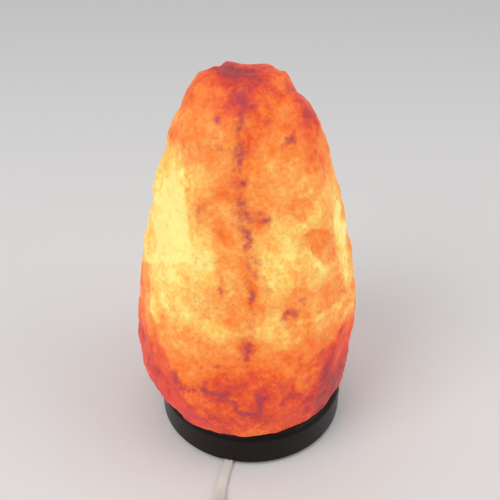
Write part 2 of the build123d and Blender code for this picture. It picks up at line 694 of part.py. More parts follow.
def cord_cores():
    """The two insulated cores, from the jacket's end to the contact rivets."""
    end = SOCKET_SPLIT - SOCKET_FLOOR - CONTACT_RIVET_TAIL
    half = (CORD_WIDTH - CORD_THICKNESS) / 2
    dx, dy = at_radius(half, GROOVE_ANGLE - 90)
    cores = []
    for x, y, target in [(dx, dy, LINE_RIVET_X), (-dx, -dy, NEUTRAL_RIVET_X)]:
        low = CORD_RISE_END
        turns = [(x, y, low + CORE_STRAIGHT), (target, 0, end - CORE_STRAIGHT)]
        points = [(x, y, low), *turns, (target, 0, end)]
        path = FilletPolyline(*points, radius=CORE_BEND)
        cores.append(sweep(Plane(points[0], z_dir=(0, 0, 1)) * Circle(CORE_DIA / 2), path=path))
    return group(cores)


# ---- threads and bulb ----------------------------------------------------------------------------
def thread_wave(radius, low):
    """A rolled thread's profile as rings: arcs that swell out and in, from a height upwards."""
    arcs = []
    half = THREAD_PITCH / 2
    for i in range(2 * THREAD_TURNS):
        z = low + i * half
        swell = THREAD_DEPTH / 2 if i % 2 == 0 else -THREAD_DEPTH / 2
        arcs.append(ThreePointArc((radius, 0, z), (radius + swell, 0, z + half / 2), (radius, 0, z + half)))
    return arcs


def ring_shell(radius, low):
    """A threaded shell of sheet metal, whose inner wave lies at a radius."""
    high = low + THREAD_TURNS * THREAD_PITCH
    inner = thread_wave(radius, low)
    outer = thread_wave(radius + SHEET, low)
    ends = [Line((radius, 0, z), (radius + SHEET, 0, z)) for z in (low, high)]
    edges = [edge for piece in inner + outer + ends for edge in piece.edges()]
    return revolve(make_face(edges), Axis.Z)


def socket_shell():
    radius = THREAD_RADIUS + THREAD_PLAY
    shell = ring_shell(radius, CAP_FOOT)
    skirt = rod(2 * (radius + SHEET), SHELL_FOOT, CAP_FOOT) - rod(2 * radius, SHELL_FOOT, CAP_FOOT)
    tab_start = NEUTRAL_RIVET_X - CONTACT_RIVET_DIA
    tab = Pos(tab_start, 0, SHELL_FOOT) * Box(
        radius - tab_start, CONTACT_WIDTH, SHEET, align=(Align.MIN, Align.CENTER, Align.MIN)
    )
    return shell + skirt + tab - wire_holes(0, SHELL_FOOT + SHEET + 0.1)


def bulb_screw_cap():
    inner = THREAD_RADIUS - SHEET
    cap = ring_shell(inner, CAP_FOOT)
    collar = rod(2 * THREAD_RADIUS, THREAD_TOP, THREAD_TOP + COLLAR_HEIGHT)
    return cap + collar - rod(2 * inner, THREAD_TOP, THREAD_TOP + COLLAR_HEIGHT)


def bulb_insulator():
    narrow = TIP_DIA / 2 + INSULATOR_LIP
    wide = THREAD_RADIUS - SHEET
    foot = CAP_FOOT - INSULATOR_HEIGHT
    cone = Pos(0, 0, foot) * Cone(narrow, wide, INSULATOR_HEIGHT, align=UPRIGHT)
    return cone - rod(WIRE_DIA + 2 * FIT_GAP, foot - 1, CAP_FOOT + 1)


def bulb_contact():
    button = rod(TIP_DIA, BULB_FOOT, BULB_FOOT + TIP_HEIGHT)
    return fillet(button.edges().group_by(Axis.Z)[0], TIP_HEIGHT / 2)


def glass_outline(inset):
    """The right-hand half of the bulb's pear shape, drawn in by an inset."""
    neck = THREAD_RADIUS - SHEET - FIT_GAP
    points = [(neck - inset, 0, THREAD_TOP + COLLAR_HEIGHT + GLASS_WALL)]
    for share, rise in [
        (GLASS_SHOULDER_SHARE, GLASS_SHOULDER_RISE),
        (GLASS_BELLY_SHARE, GLASS_BELLY_RISE),
        (GLASS_CROWN_SHARE, GLASS_CROWN_RISE),
    ]:
        points.append((share * BULB_DIA / 2 - inset, 0, THREAD_TOP + rise - inset / 2))
    points.append((0, 0, BULB_TOP - inset))
    return points[0], Spline(*points, tangents=[(0, 0, 1), (-1, 0, 0)])


def bulb_glass():
    start, outer = glass_outline(0)
    inner_start, inner = glass_outline(GLASS_WALL)
    lines = [
        Line((start[0], 0, THREAD_TOP), start),
        Line((start[0], 0, THREAD_TOP), (inner_start[0], 0, THREAD_TOP)),
        Line((inner_start[0], 0, THREAD_TOP), inner_start),
        Line((0, 0, BULB_TOP - GLASS_WALL), (0, 0, BULB_TOP)),
    ]
    edges = [edge for piece in [outer, inner, *lines] for edge in piece.edges()]
    return revolve(make_face(edges), Axis.Z)


def bulb_stem():
    """The glass foot that closes the bulb's neck and carries its wires."""
    neck = THREAD_RADIUS - SHEET - FIT_GAP - GLASS_WALL - FIT_GAP
    foot = rod(2 * neck, THREAD_TOP, THREAD_TOP + STEM_FLANGE)
    stem = foot + rod(STEM_DIA, THREAD_TOP, THREAD_TOP + STEM_HEIGHT)
    return stem - rod(WIRE_DIA + 2 * FIT_GAP, THREAD_TOP - 1, THREAD_TOP + 2)


def bulb_wires():
    """The two wires that hold the filament, and the one down to the contact."""
    wires = []
    for side in (-1, 1):
        top = THREAD_TOP + STEM_HEIGHT
        reach = FILAMENT_SPAN / 2
        points = [(side * 1.0, 0, top), (side * 1.0, 0, top + 2), (side * reach, 0, FILAMENT_LEVEL - 1.5)]
        points.append((side * reach, 0, FILAMENT_LEVEL - FILAMENT_WIRE_DIA / 2))
        path = FilletPolyline(*points, radius=1.5)
        wires.append(sweep(Plane(points[0], z_dir=(0, 0, 1)) * Circle(WIRE_DIA / 2), path=path))
    wires.append(rod(WIRE_DIA, BULB_FOOT + TIP_HEIGHT, THREAD_TOP + 2))
    return group(wires)


def bulb_filament():
    reach = FILAMENT_SPAN / 2 + WIRE_DIA / 2
    return Pos(0, 0, FILAMENT_LEVEL) * Rot(0, 90, 0) * Cylinder(FILAMENT_WIRE_DIA / 2, 2 * reach)


# ---- in-line dimmer ------------------------------------------------------------------------------
at_dimmer = Pos(DIMMER_X, DIMMER_Y, 0)


def post_places():
    return [(POST_X, POST_Y), (-POST_X, -POST_Y)]


def level_slot(size, y):
    """A flat oval section that faces along Y, at the height of the dimmer's joint."""
    return Plane((0, y, DIMMER_SPLIT), x_dir=(1, 0, 0), z_dir=(0, -1, 0)) * SlotOverall(*size)


def boot_holes():
    return extrude(level_slot(BOOT_NECK, DIMMER_LENGTH / 2 + 1), DIMMER_LENGTH + 2)


def case_solid(inset, low, high):
    outline = RectangleRounded(DIMMER_WIDTH - 2 * inset, DIMMER_LENGTH - 2 * inset, DIMMER_CORNER - inset)
    return Pos(0, 0, low) * extrude(outline, high - low)


def dimmer_lower_shell():
    shell = case_solid(0, 0, DIMMER_SPLIT)
    shell = fillet(shell.edges().group_by(Axis.Z)[0], DIMMER_FOOT_ROUND)
    shell -= case_solid(DIMMER_WALL, DIMMER_WALL, DIMMER_SPLIT)
    board_foot = BOARD_TOP - BOARD_THICKNESS
    for x in (-1, 1):
        for y in (-1, 1):
            shell += rod(BOSS_DIA, DIMMER_WALL, board_foot, x * BOARD_WIDTH / 3, y * BOARD_LENGTH / 3)
    head_seat = CASE_SCREW_SINK + CASE_SCREW_HEAD_HEIGHT
    for x, y in post_places():
        shell += rod(POST_DIA, DIMMER_FOOT_ROUND, DIMMER_SPLIT, x, y)
        shell -= rod(CASE_SCREW_HEAD_DIA + 2 * SEAT_GAP, -1, head_seat, x, y)
        shell -= rod(CASE_SCREW_DIA + 2 * FIT_GAP, 0, DIMMER_SPLIT + 1, x, y)
    return at_dimmer * (shell - boot_holes())


def dimmer_upper_shell():
    shell = case_solid(0, DIMMER_SPLIT, DIMMER_HEIGHT)
    shell = fillet(shell.edges().group_by(Axis.Z)[-1], DIMMER_TOP_ROUND)
    ceiling = DIMMER_HEIGHT - DIMMER_WALL
    shell -= case_solid(DIMMER_WALL, DIMMER_SPLIT, ceiling)
    for x, y in post_places():
        shell += rod(POST_DIA, DIMMER_SPLIT, ceiling, x, y)
        top = CASE_SCREW_SINK + CASE_SCREW_HEAD_HEIGHT + CASE_SCREW_LENGTH + SEAT_GAP
        shell -= rod(CASE_SCREW_DIA + 2 * FIT_GAP, 0, top, x, y)
    shell -= rod(POT_NECK_DIA + 2 * SEAT_GAP, 0, DIMMER_HEIGHT + 1)
    return at_dimmer * (shell - boot_holes())


def dimmer_screws():
    screws = []
    for x, y in post_places():
        seat = CASE_SCREW_SINK + CASE_SCREW_HEAD_HEIGHT
        head = rod(CASE_SCREW_HEAD_DIA, CASE_SCREW_SINK, seat, x, y)
        head -= block((CASE_SCREW_HEAD_DIA / 2, DRIVER_SLOT, DRIVER_SLOT), x, y, CASE_SCREW_SINK)
        head -= block((DRIVER_SLOT, CASE_SCREW_HEAD_DIA / 2, DRIVER_SLOT), x, y, CASE_SCREW_SINK)
        screws.append(at_dimmer * (head + rod(CASE_SCREW_DIA, seat, seat + CASE_SCREW_LENGTH, x, y)))
    return group(screws)


def dimmer_boots():
    """The two tapered boots, each with a neck in the end wall and a flange inside it."""
    wall = DIMMER_LENGTH / 2
    inside = wall - DIMMER_WALL
    taper = loft([level_slot(BOOT_SHOULDER, wall), level_slot(BOOT_TIP, wall + BOOT_LENGTH)])
    neck = extrude(level_slot(BOOT_NECK, wall), DIMMER_WALL)
    flange = Pos(0, inside - BOOT_FLANGE_THICKNESS / 2, DIMMER_SPLIT) * Box(
        BOOT_FLANGE[0], BOOT_FLANGE_THICKNESS, BOOT_FLANGE[1]
    )
    boot = taper + neck + flange
    return group([at_dimmer * boot, at_dimmer * Rot(0, 0, 180) * boot])


def dimmer_board():
    board = block((BOARD_WIDTH, BOARD_LENGTH, BOARD_THICKNESS), low=BOARD_TOP - BOARD_THICKNESS)
    return at_dimmer * board


def dimmer_terminals():
    y = BOARD_LENGTH / 2 - TERMINAL_BLOCK[1] / 2
    blocks = [block(TERMINAL_BLOCK, 0, side * y, BOARD_TOP) for side in (-1, 1)]
    return group([at_dimmer * one for one in blocks])


def dimmer_wires():
    """Four insulated cores from the boots' flanges to the terminal blocks."""
    start = DIMMER_LENGTH / 2 - DIMMER_WALL - BOOT_FLANGE_THICKNESS
    length = start - BOARD_LENGTH / 2
    wires = []
    for side in (-1, 1):
        for x in (-1, 1):
            middle = (x * CORD_WIDTH / 4, side * (start - length / 2), DIMMER_SPLIT)
            wires.append(at_dimmer * Pos(*middle) * Rot(90, 0, 0) * Cylinder(CORE_DIA / 2, length))
    return group(wires)


def dimmer_triac():
    case = block(TRIAC, 0, TRIAC_Y, BOARD_TOP)
    return at_dimmer * chamfer(case.edges().group_by(Axis.Z)[-1], 0.5)


def dimmer_capacitor():
    case = block(CAPACITOR, 0, CAPACITOR_Y, BOARD_TOP)
    return at_dimmer * fillet(case.edges().filter_by(Axis.Z), 1.0)


def dimmer_pot():
    """The ring-shaped potentiometer with the neck that its shaft turns in."""
    pot = rod(POT_DIA, BOARD_TOP, BOARD_TOP + POT_HEIGHT)
    pot += rod(POT_NECK_DIA, BOARD_TOP, DIMMER_HEIGHT - DIMMER_WALL / 2)
    shaft_hole = rod(SHAFT_DIA + 2 * FIT_GAP, BOARD_TOP + SHAFT_FOOT - SEAT_GAP, DIMMER_HEIGHT)
    return at_dimmer * (pot - shaft_hole)


KNOB_FOOT = DIMMER_HEIGHT + KNOB_GAP
SHAFT_TOP = KNOB_FOOT + KNOB_HEIGHT - KNOB_TOP


def dimmer_shaft():
    shaft = rod(SHAFT_DIA, BOARD_TOP + SHAFT_FOOT, SHAFT_TOP)
    flat = block((SHAFT_DIA, SHAFT_DIA, SHAFT_TOP), SHAFT_DIA * 0.8, 0, KNOB_FOOT)
    return at_dimmer * (shaft - flat)


def dimmer_knob():
    knob = rod(KNOB_DIA, KNOB_FOOT, KNOB_FOOT + KNOB_HEIGHT)
    knob = fillet(knob.edges().group_by(Axis.Z)[-1], 1.2)
    for x, y in around(KNOB_RIBS, KNOB_DIA / 2):
        knob -= rod(KNOB_RIB_DIA, KNOB_FOOT - 1, KNOB_FOOT + KNOB_HEIGHT - 1.6, x, y)
    shaft_hole = rod(SHAFT_DIA + 2 * FIT_GAP, 0, SHAFT_TOP + FIT_GAP)
    flat = block((SHAFT_DIA, SHAFT_DIA, SHAFT_TOP), SHAFT_DIA * 0.8 + FIT_GAP, 0, KNOB_FOOT)
    knob -= shaft_hole - flat
    pointer = block(POINTER, 0, KNOB_DIA / 2 - POINTER[1], KNOB_FOOT + KNOB_HEIGHT - POINTER[2])
    return at_dimmer * (knob - pointer)


# ---- plug ----------------------------------------------------------------------------------------
PLUG_SHOULDER_Y = PLUG_TIP_Y + PLUG_BOOT_LENGTH
PLUG_FACE_Y = PLUG_SHOULDER_Y + PLUG_BODY[2]


def plug_section(y):
    return Plane((PLUG_TIP_X, y, PLUG_LEVEL), x_dir=(1, 0, 0), z_dir=(0, -1, 0))


def blade(x, width):
    """One flat blade, its root in the plug and a hole near its tip."""
    length = BLADE_LENGTH + BLADE_ROOT
    middle = Pos(PLUG_TIP_X + x, PLUG_FACE_Y - BLADE_ROOT + length / 2, PLUG_LEVEL)
    bar = Box(BLADE_THICKNESS, length, width)
    bar = chamfer(bar.edges().filter_by(Axis.Z).group_by(Axis.Y)[-1], BLADE_THICKNESS / 4)
    hole = Pos(0, length / 2 - BLADE_HOLE_FROM_TIP, 0) * Rot(0, 90, 0) * Cylinder(BLADE_HOLE_DIA / 2, 2)
    return middle * (bar - hole)


def plug_body():
    size = RectangleRounded(PLUG_BODY[0], PLUG_BODY[1], PLUG_CORNER)
    body = extrude(plug_section(PLUG_FACE_Y) * size, PLUG_BODY[2])
    ends = body.edges().group_by(Axis.Y)
    body = fillet(ends[0] + ends[-1], PLUG_EDGE)
    boot = loft([
        plug_section(PLUG_SHOULDER_Y + PLUG_EDGE) * RectangleRounded(*PLUG_SHOULDER, PLUG_SHOULDER_CORNER),
        plug_section(PLUG_TIP_Y) * RectangleRounded(*BOOT_TIP, BOOT_TIP[1] / 2 - 0.05),
    ])
    body += boot
    for x, width in ((-1, LINE_BLADE_WIDTH), (1, NEUTRAL_BLADE_WIDTH)):
        root = Box(BLADE_THICKNESS, BLADE_ROOT, width)
        body -= Pos(PLUG_TIP_X + x * BLADE_SPACING / 2, PLUG_FACE_Y - BLADE_ROOT / 2, PLUG_LEVEL) * root
    return body


# ---- the pieces ----------------------------------------------------------------------------------
save("salt_crystal", salt_crystal())

ON_AXIS_PIECES = {
    "wooden_base": wooden_base,
    "base_screws": base_screws,
    "screw_anchors": screw_anchors,
    "rubber_feet": rubber_feet,
    "mounting_plate": mounting_plate,
    "cord_grommet": cord_grommet,
    "clip_rivets": clip_rivets,
    "spring_clip_right": spring_clip,
    "spring_clip_left": lambda: mirror(spring_clip(), about=Plane.YZ),
    "socket_base": socket_base,
    "socket_sleeve": socket_sleeve,
    "socket_screws": socket_screws,
    "socket_shell": socket_shell,
    "centre_contact": centre_contact,
    "contact_rivets": contact_rivets,
    "cord_cores": cord_cores,
    "cord_in_base": cord_in_base,
    "cord_lead": lambda: route_lead(LEAD_ROUTE, "cord_lead"),
    "cord_feed": lambda: route_lead(FEED_ROUTE, "cord_feed"),
    "cord_coil": cord_coil,
    "cord_tail": lambda: route_lead(TAIL_ROUTE, "cord_tail"),
    "cord_tie": cord_tie,
    "bulb_glass": bulb_glass,
    "bulb_screw_cap": bulb_screw_cap,
    "bulb_insulator": bulb_insulator,
    "bulb_contact": bulb_contact,
    "bulb_stem": bulb_stem,
    "bulb_wires": bulb_wires,
    "bulb_filament": bulb_filament,
    "dimmer_lower_shell": dimmer_lower_shell,
    "dimmer_upper_shell": dimmer_upper_shell,
    "dimmer_screws": dimmer_screws,
    "dimmer_boots": dimmer_boots,
    "dimmer_board": dimmer_board,
    "dimmer_terminals": dimmer_terminals,
    "dimmer_wires": dimmer_wires,
    "dimmer_triac": dimmer_triac,
    "dimmer_capacitor": dimmer_capacitor,
    "dimmer_pot": dimmer_pot,
    "dimmer_shaft": dimmer_shaft,
    "dimmer_knob": dimmer_knob,
    "plug_body": plug_body,
    "plug_blade_line": lambda: blade(-BLADE_SPACING / 2, LINE_BLADE_WIDTH),
    "plug_blade_neutral": lambda: blade(BLADE_SPACING / 2, NEUTRAL_BLADE_WIDTH),
}
for node, make in ON_AXIS_PIECES.items():
    save(node, on_axis * make())
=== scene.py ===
# %% [markdown]
# # A salt crystal lamp
# A rough block of rock salt stands on a dark turned base, with a small bulb inside it. This lesson
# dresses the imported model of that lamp, one piece at a time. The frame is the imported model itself:
# every node lies where the real piece lies, in metres, with the floor at z = 0 and the front
# towards -Y. Pieces of our own either sit on that frame or stand for one of its nodes.

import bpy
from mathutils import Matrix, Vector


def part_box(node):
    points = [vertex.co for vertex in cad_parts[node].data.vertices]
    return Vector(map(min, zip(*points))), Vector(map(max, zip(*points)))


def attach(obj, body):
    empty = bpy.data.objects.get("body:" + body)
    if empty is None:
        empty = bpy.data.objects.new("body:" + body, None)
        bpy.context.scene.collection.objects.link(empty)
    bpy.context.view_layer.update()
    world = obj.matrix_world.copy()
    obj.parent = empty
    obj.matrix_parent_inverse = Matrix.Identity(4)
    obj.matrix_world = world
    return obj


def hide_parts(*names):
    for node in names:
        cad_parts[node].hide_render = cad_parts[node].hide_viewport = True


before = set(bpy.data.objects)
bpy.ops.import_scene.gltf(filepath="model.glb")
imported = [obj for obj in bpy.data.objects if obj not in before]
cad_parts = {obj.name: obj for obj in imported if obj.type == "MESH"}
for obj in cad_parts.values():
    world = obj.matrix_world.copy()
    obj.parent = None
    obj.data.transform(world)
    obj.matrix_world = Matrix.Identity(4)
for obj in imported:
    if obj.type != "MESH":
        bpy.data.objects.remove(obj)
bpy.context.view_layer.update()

# %% Tools for the rest of the lesson
from math import cos, pi, radians, sin

import bmesh
import bpy
import numpy as np
from mathutils import Vector, noise

scene = bpy.context.scene
LAMP_X = 0.0042          # the axis of bore, base and bulb
ROCK_FOOT = 0.026        # level of the base's top, where the rock stands


def new_object(name, data):
    """A new object in the scene."""
    made = bpy.data.objects.new(name, data)
    scene.collection.objects.link(made)
    return made


# %% [markdown]
# ## Camera
# The picture is taken from above and in front of the lamp. How flat the base's ovals look gives the
# tilt, and the width of the base gives the distance. Setting the camera first lets later steps ask
# where a point of the rock falls in the picture.

# %% Camera
CAMERA_PLACE = Vector((0.0035, -0.344, 0.343))
CAMERA_TILT = radians(32.4)      # below level
FOCAL_PIXELS = 657.0
PICTURE = 500.0

camera = bpy.data.cameras.new("picture_camera")
camera.sensor_width = 36.0
camera.lens = FOCAL_PIXELS / PICTURE * camera.sensor_width
camera.clip_start = 0.01
camera_object = new_object("picture_camera", camera)
camera_object.location = CAMERA_PLACE
camera_object.rotation_euler = (pi / 2 - CAMERA_TILT, 0, 0)
scene.camera = camera_object
print("lens", round(camera.lens, 2), "mm")


# %% Where points fall in the picture
def picture_place(points):
    """Columns and rows, in the picture's pixels, of points given as an array."""
    away = np.asarray(points, float).reshape(-1, 3) - np.array(CAMERA_PLACE)
    depth = away[:, 1] * cos(CAMERA_TILT) - away[:, 2] * sin(CAMERA_TILT)
    rise = away[:, 1] * sin(CAMERA_TILT) + away[:, 2] * cos(CAMERA_TILT)
    return np.column_stack([
        PICTURE / 2 + FOCAL_PIXELS * away[:, 0] / depth,
        PICTURE / 2 - FOCAL_PIXELS * rise / depth,
    ])


print("middle of the base's top:", picture_place([(LAMP_X, 0, ROCK_FOOT)]).round(0))

# %% [markdown]
# ## The lead
# A lamp like this has a flat twin lead: two round cores side by side in one white jacket with a groove
# between them. A curve is the natural way to make it, because the real lead is one section drawn along
# a line. The section is a curve of its own, and the twist mode keeps its broad side level. The tube is
# then kept as a mesh, together with the places on its middle line that say where it runs.

# %% The lead's section
LEAD_THICKNESS = 0.0029
LEAD_GROOVE = 0.00042            # depth of the groove on each side


def twin_section():
    """A closed outline of two touching rounds, with a shallow groove where they meet."""
    radius = LEAD_THICKNESS / 2
    corners = []
    for core, start in ((1, -90), (-1, 90)):
        for step in range(9):
            angle = radians(start + 180 * step / 8)
            corners.append((core * radius + radius * cos(angle), radius * sin(angle)))
        corners.append((0.0, core * (radius - LEAD_GROOVE)))
    curve = bpy.data.curves.new("twin_section", "CURVE")
    curve.dimensions = "2D"
    spline = curve.splines.new("POLY")
    spline.points.add(len(corners) - 1)
    for point, (x, y) in zip(spline.points, corners):
        point.co = (x, y, 0, 1)
    spline.use_cyclic_u = True
    section = new_object("twin_section", curve)
    section.hide_render = True
    section.hide_viewport = True
    return section


lead_section = twin_section()


# %% A lead along a route
def lead_along(name, route, smoothness=8):
    """The twin lead along one smooth spline whose control points are the route's points."""
    curve = bpy.data.curves.new(name, "CURVE")
    curve.dimensions = "3D"
    curve.twist_mode = "Z_UP"
    curve.bevel_mode = "OBJECT"
    curve.bevel_object = lead_section
    curve.use_fill_caps = True
    curve.resolution_u = smoothness
    spline = curve.splines.new("NURBS")
    spline.points.add(len(route) - 1)
    for point, place in zip(spline.points, route):
        point.co = (*place, 1)
    spline.order_u = 3
    spline.use_endpoint_u = True
    drawn = new_object("drawn", curve)
    drawn_now = drawn.evaluated_get(bpy.context.evaluated_depsgraph_get())
    tube = bpy.data.meshes.new_from_object(drawn_now)
    bpy.data.objects.remove(drawn)
    curve.bevel_object = None
    line = bpy.data.objects.new("line", curve)
    line_mesh = bpy.data.meshes.new_from_object(line)
    places = [v.co.copy() for v in line_mesh.vertices]
    bpy.data.objects.remove(line)
    bpy.data.meshes.remove(line_mesh)
    for face in tube.polygons:
        face.use_smooth = len(face.vertices) == 4
    return new_object(name, tube), places


def run_length(places):
    """The length of a line through places."""
    return sum((b - a).length for a, b in zip(places, places[1:]))


# %% [markdown]
# ## Two free stretches
# The lead leaves the groove under the base towards the viewer and runs to the dimmer just outside the
# picture. From the dimmer it goes on into a neat coil of spare lead and then to the plug. The coil has
# two layers: half turns that spiral in, one that climbs, and half turns that spiral out again. Each
# half turn gets twelve control points, a little outside the circle that the smooth line then follows.

# %% From the base to the dimmer
GROOVE_END = (-0.00981, -0.05834, 0.0015)
lead_route = [
    GROOVE_END,
    (-0.01266, -0.07021, 0.0015),
    (-0.0147, -0.0855, 0.0015),
    (-0.0158, -0.100, 0.007),
    (-0.0158, -0.110, 0.007),
]
lamp_lead, lamp_line = lead_along("lamp_lead", lead_route, smoothness=16)
print("lamp lead", round(run_length(lamp_line), 4), "m")

# %% The coil's control points
COIL_START_X = -0.0158
COIL_Y = -0.2418
COIL_LEVEL = 0.00235
COIL_OUTER = 0.040
COIL_STEP = 0.00315              # between one half turn's radius and the next
COIL_CLIMB = 0.0148              # radius of the half turn that climbs
COIL_CLIMB_REACH = 0.029404      # how far across that half turn goes
LAYER = 0.0034
HALF_TURNS_IN = 8
POINTS_A_HALF_TURN = 12
OUTSIDE = 1 / 0.9914             # a control point's radius over its smooth line's


def coil_points():
    """Control points of the coil, from its left-hand start to its right-hand end."""
    inward = [COIL_OUTER - COIL_STEP * turn for turn in range(HALF_TURNS_IN)]
    points = []
    x, level, side = COIL_START_X, COIL_LEVEL, 1
    for radius in inward + [COIL_CLIMB] + inward[::-1]:
        climbs = radius == COIL_CLIMB
        reach = COIL_CLIMB_REACH if climbs else 2 * radius
        middle = x + side * reach / 2
        start = pi if side == 1 else 0.0
        for step in range(POINTS_A_HALF_TURN):
            share = (step + 0.5) / POINTS_A_HALF_TURN
            angle = start + pi * share
            rise = LAYER * share if climbs else 0.0
            points.append((
                middle + reach / 2 * OUTSIDE * cos(angle),
                COIL_Y + radius * OUTSIDE * sin(angle),
                level + rise,
            ))
        x += side * reach
        level += LAYER if climbs else 0.0
        side = -side
    return points


coil = coil_points()
print("control points in the coil:", len(coil))

# %% From the dimmer through the coil to the plug
feed_route = [
    (-0.0158, -0.204, 0.007),
    (-0.0158, -0.212, 0.007),
    (-0.0158, -0.222, 0.00235),
    (-0.0158, -0.236, 0.00235),
]
tail_route = [
    (0.06400, -0.236, 0.00575),
    (0.06400, -0.228, 0.00575),
    (0.0612, -0.202, 0.0072),
    (0.0582, -0.184, 0.008),
    (0.0582, -0.176, 0.008),
]
spare_lead, spare_line = lead_along("spare_lead", feed_route + coil + tail_route, smoothness=4)
print("spare lead", round(run_length(spare_line), 4), "m")

# %% [markdown]
# ## The stretch inside the base
# Under the base the lead lies in its groove and turns up through the grommet into the holder. It is
# fixed there, so it isn't a free cord, but it is the same lead and gets the same section.

# %% Inside the base
inside_route = [
    (LAMP_X, 0.0, 0.013),
    (LAMP_X, 0.0, 0.006),
    (LAMP_X - 0.0001, -0.0004, 0.0019),
    (LAMP_X - 0.0011, -0.0046, 0.0015),
    (-0.00281, -0.0292, 0.0015),
    GROOVE_END,
]
inside_lead, inside_line = lead_along("inside_lead", inside_route)
print("inside lead", round(run_length(inside_line), 4), "m")

# %% [markdown]
# ## Seating the leads
# The three stretches stand for the frame's plain solids of the lead and ride on its cord set. The spare
# lead is one piece here, and stands for three solids: feed, coil and tail.

# %% Seat the leads
for stretch, nodes in (
    (lamp_lead, ["cord_lead"]),
    (spare_lead, ["cord_feed", "cord_coil", "cord_tail"]),
    (inside_lead, ["cord_in_base"]),
):
    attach(stretch, "cord_set")
    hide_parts(*nodes)

print("leads seated:", lamp_lead.name, spare_lead.name, inside_lead.name)

# %% [markdown]
# ## The strap round the coil
# A short woven strap holds the coil's turns together on the side towards the dimmer. It goes once round
# them, and its free end lies lapped on top and curls up a little, as a fastening strap does.

# %% A soft strap through places
STRAP_WIDTH = 0.008
STRAP_THICKNESS = 0.0005
STRAP_ROUNDING = 0.0017
STRAP_ACROSS = (-0.5, -0.44, 0.0, 0.44, 0.5)     # places across it, in widths
LAP_START = 0.0045               # where the free end starts, from the strap's near side
LAP_STEP = 0.0012
LAP_STEPS = 15
LAP_FLAT_STEPS = 11              # steps before it curls up
LAP_CURL = 0.0011 / 16           # how fast the last steps rise


def strap_loop(low_y, high_y, low_z, high_z, rounding, steps=6):
    """Places round a rounded box in the YZ plane, as pairs."""
    places = []
    for middle_y, middle_z, start in (
        (high_y - rounding, high_z - rounding, 0),
        (low_y + rounding, high_z - rounding, 90),
        (low_y + rounding, low_z + rounding, 180),
        (high_y - rounding, low_z + rounding, 270),
    ):
        for step in range(steps + 1):
            angle = radians(start + 90 * step / steps)
            places.append((middle_y + rounding * cos(angle), middle_z + rounding * sin(angle)))
    return places


def band(name, places, middle_x, closed):
    """A soft strap: a strip through the places, given thickness and rounded edges."""
    mesh = bmesh.new()
    rows = []
    for y, z in places:
        across = [(middle_x + STRAP_WIDTH * share, y, z) for share in STRAP_ACROSS]
        rows.append([mesh.verts.new(place) for place in across])
    for row, following in zip(rows, rows[1:] + rows[:1] if closed else rows[1:]):
        for i in range(len(row) - 1):
            mesh.faces.new((row[i], row[i + 1], following[i + 1], following[i]))
    data = bpy.data.meshes.new(name)
    mesh.to_mesh(data)
    mesh.free()
    strap = new_object(name, data)
    thick = strap.modifiers.new("thickness", "SOLIDIFY")
    thick.thickness = STRAP_THICKNESS
    thick.offset = 0
    soft = strap.modifiers.new("soft", "SUBSURF")
    soft.levels = soft.render_levels = 1
    return strap


# %% Strap
tie_low, tie_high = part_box("cord_tie")
strap_x = (tie_low.x + tie_high.x) / 2
inset = STRAP_THICKNESS / 2
loop = strap_loop(
    tie_low.y + inset, tie_high.y - inset,
    tie_low.z + inset, tie_high.z - STRAP_THICKNESS - inset, STRAP_ROUNDING,
)
coil_strap = band("coil_strap", loop, strap_x, closed=True)
lap_level = tie_high.z - inset
lap_places = []
for step in range(LAP_STEPS):
    rise = LAP_CURL * max(0, step - LAP_FLAT_STEPS) ** 2
    lap_places.append((tie_low.y + LAP_START + LAP_STEP * step, lap_level + rise))
strap_end = band("strap_end", lap_places, strap_x, closed=False)
for piece in (coil_strap, strap_end):
    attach(piece, "cord_set")
    for face in piece.data.polygons:
        face.use_smooth = True
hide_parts("cord_tie")
print("strap spans", round(tie_high.y - tie_low.y, 4), "m")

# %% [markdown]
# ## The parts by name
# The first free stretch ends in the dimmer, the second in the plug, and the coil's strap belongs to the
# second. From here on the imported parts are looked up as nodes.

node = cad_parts

# %% [markdown]
# ## Floor, world and lamps
# The studio is plain: a pale floor, an even sky, and two large soft lamps. A white surface renders
# about white in it, so each finish shows the colour that it's given. The rock's own glow is part of the
# lamp, and adds a little warmth to the floor round it.


# %% Floor
def plain_material(name, **values):
    """A material with only its Principled shader and output, and values for the shader's inputs."""
    material = bpy.data.materials.new(name)
    material.use_nodes = True
    tree = material.node_tree
    shader = tree.nodes["Principled BSDF"]
    for socket, value in values.items():
        shader.inputs[socket.replace("_", " ")].default_value = value
    return material, tree, shader


floor_mesh = bpy.data.meshes.new("floor")
floor_mesh.from_pydata([(-3, -3, 0), (3, -3, 0), (3, 3, 0), (-3, 3, 0)], [], [(0, 1, 2, 3)])
floor = new_object("floor", floor_mesh)
floor_finish, tree, shader = plain_material(
    "pale_floor", Base_Color=(0.78, 0.76, 0.74, 1), Roughness=0.7, Specular_IOR_Level=0.2)
floor_mesh.materials.append(floor_finish)

# %% World and lamps
world = bpy.data.worlds.new("studio")
scene.world = world
world.use_nodes = True
sky = world.node_tree.nodes["Background"]
sky.inputs["Color"].default_value = (0.95, 0.97, 1.0, 1)
sky.inputs["Strength"].default_value = 0.62
LAMPS_LOOK_AT = Vector((0, 0, 0.1))


def soft_lamp(name, place, size, watts):
    """A square lamp that looks at the middle of the crystal."""
    lamp = bpy.data.lights.new(name, "AREA")
    lamp.shape = "SQUARE"
    lamp.size = size
    lamp.energy = watts
    holder = new_object(name, lamp)
    holder.location = place
    holder.rotation_euler = (LAMPS_LOOK_AT - Vector(place)).to_track_quat("-Z", "Y").to_euler()


soft_lamp("key_lamp", (-0.9, -0.8, 1.3), 0.9, 11.0)
soft_lamp("fill_lamp", (1.1, -0.3, 0.9), 1.0, 4.0)
scene.view_settings.view_transform = "Standard"

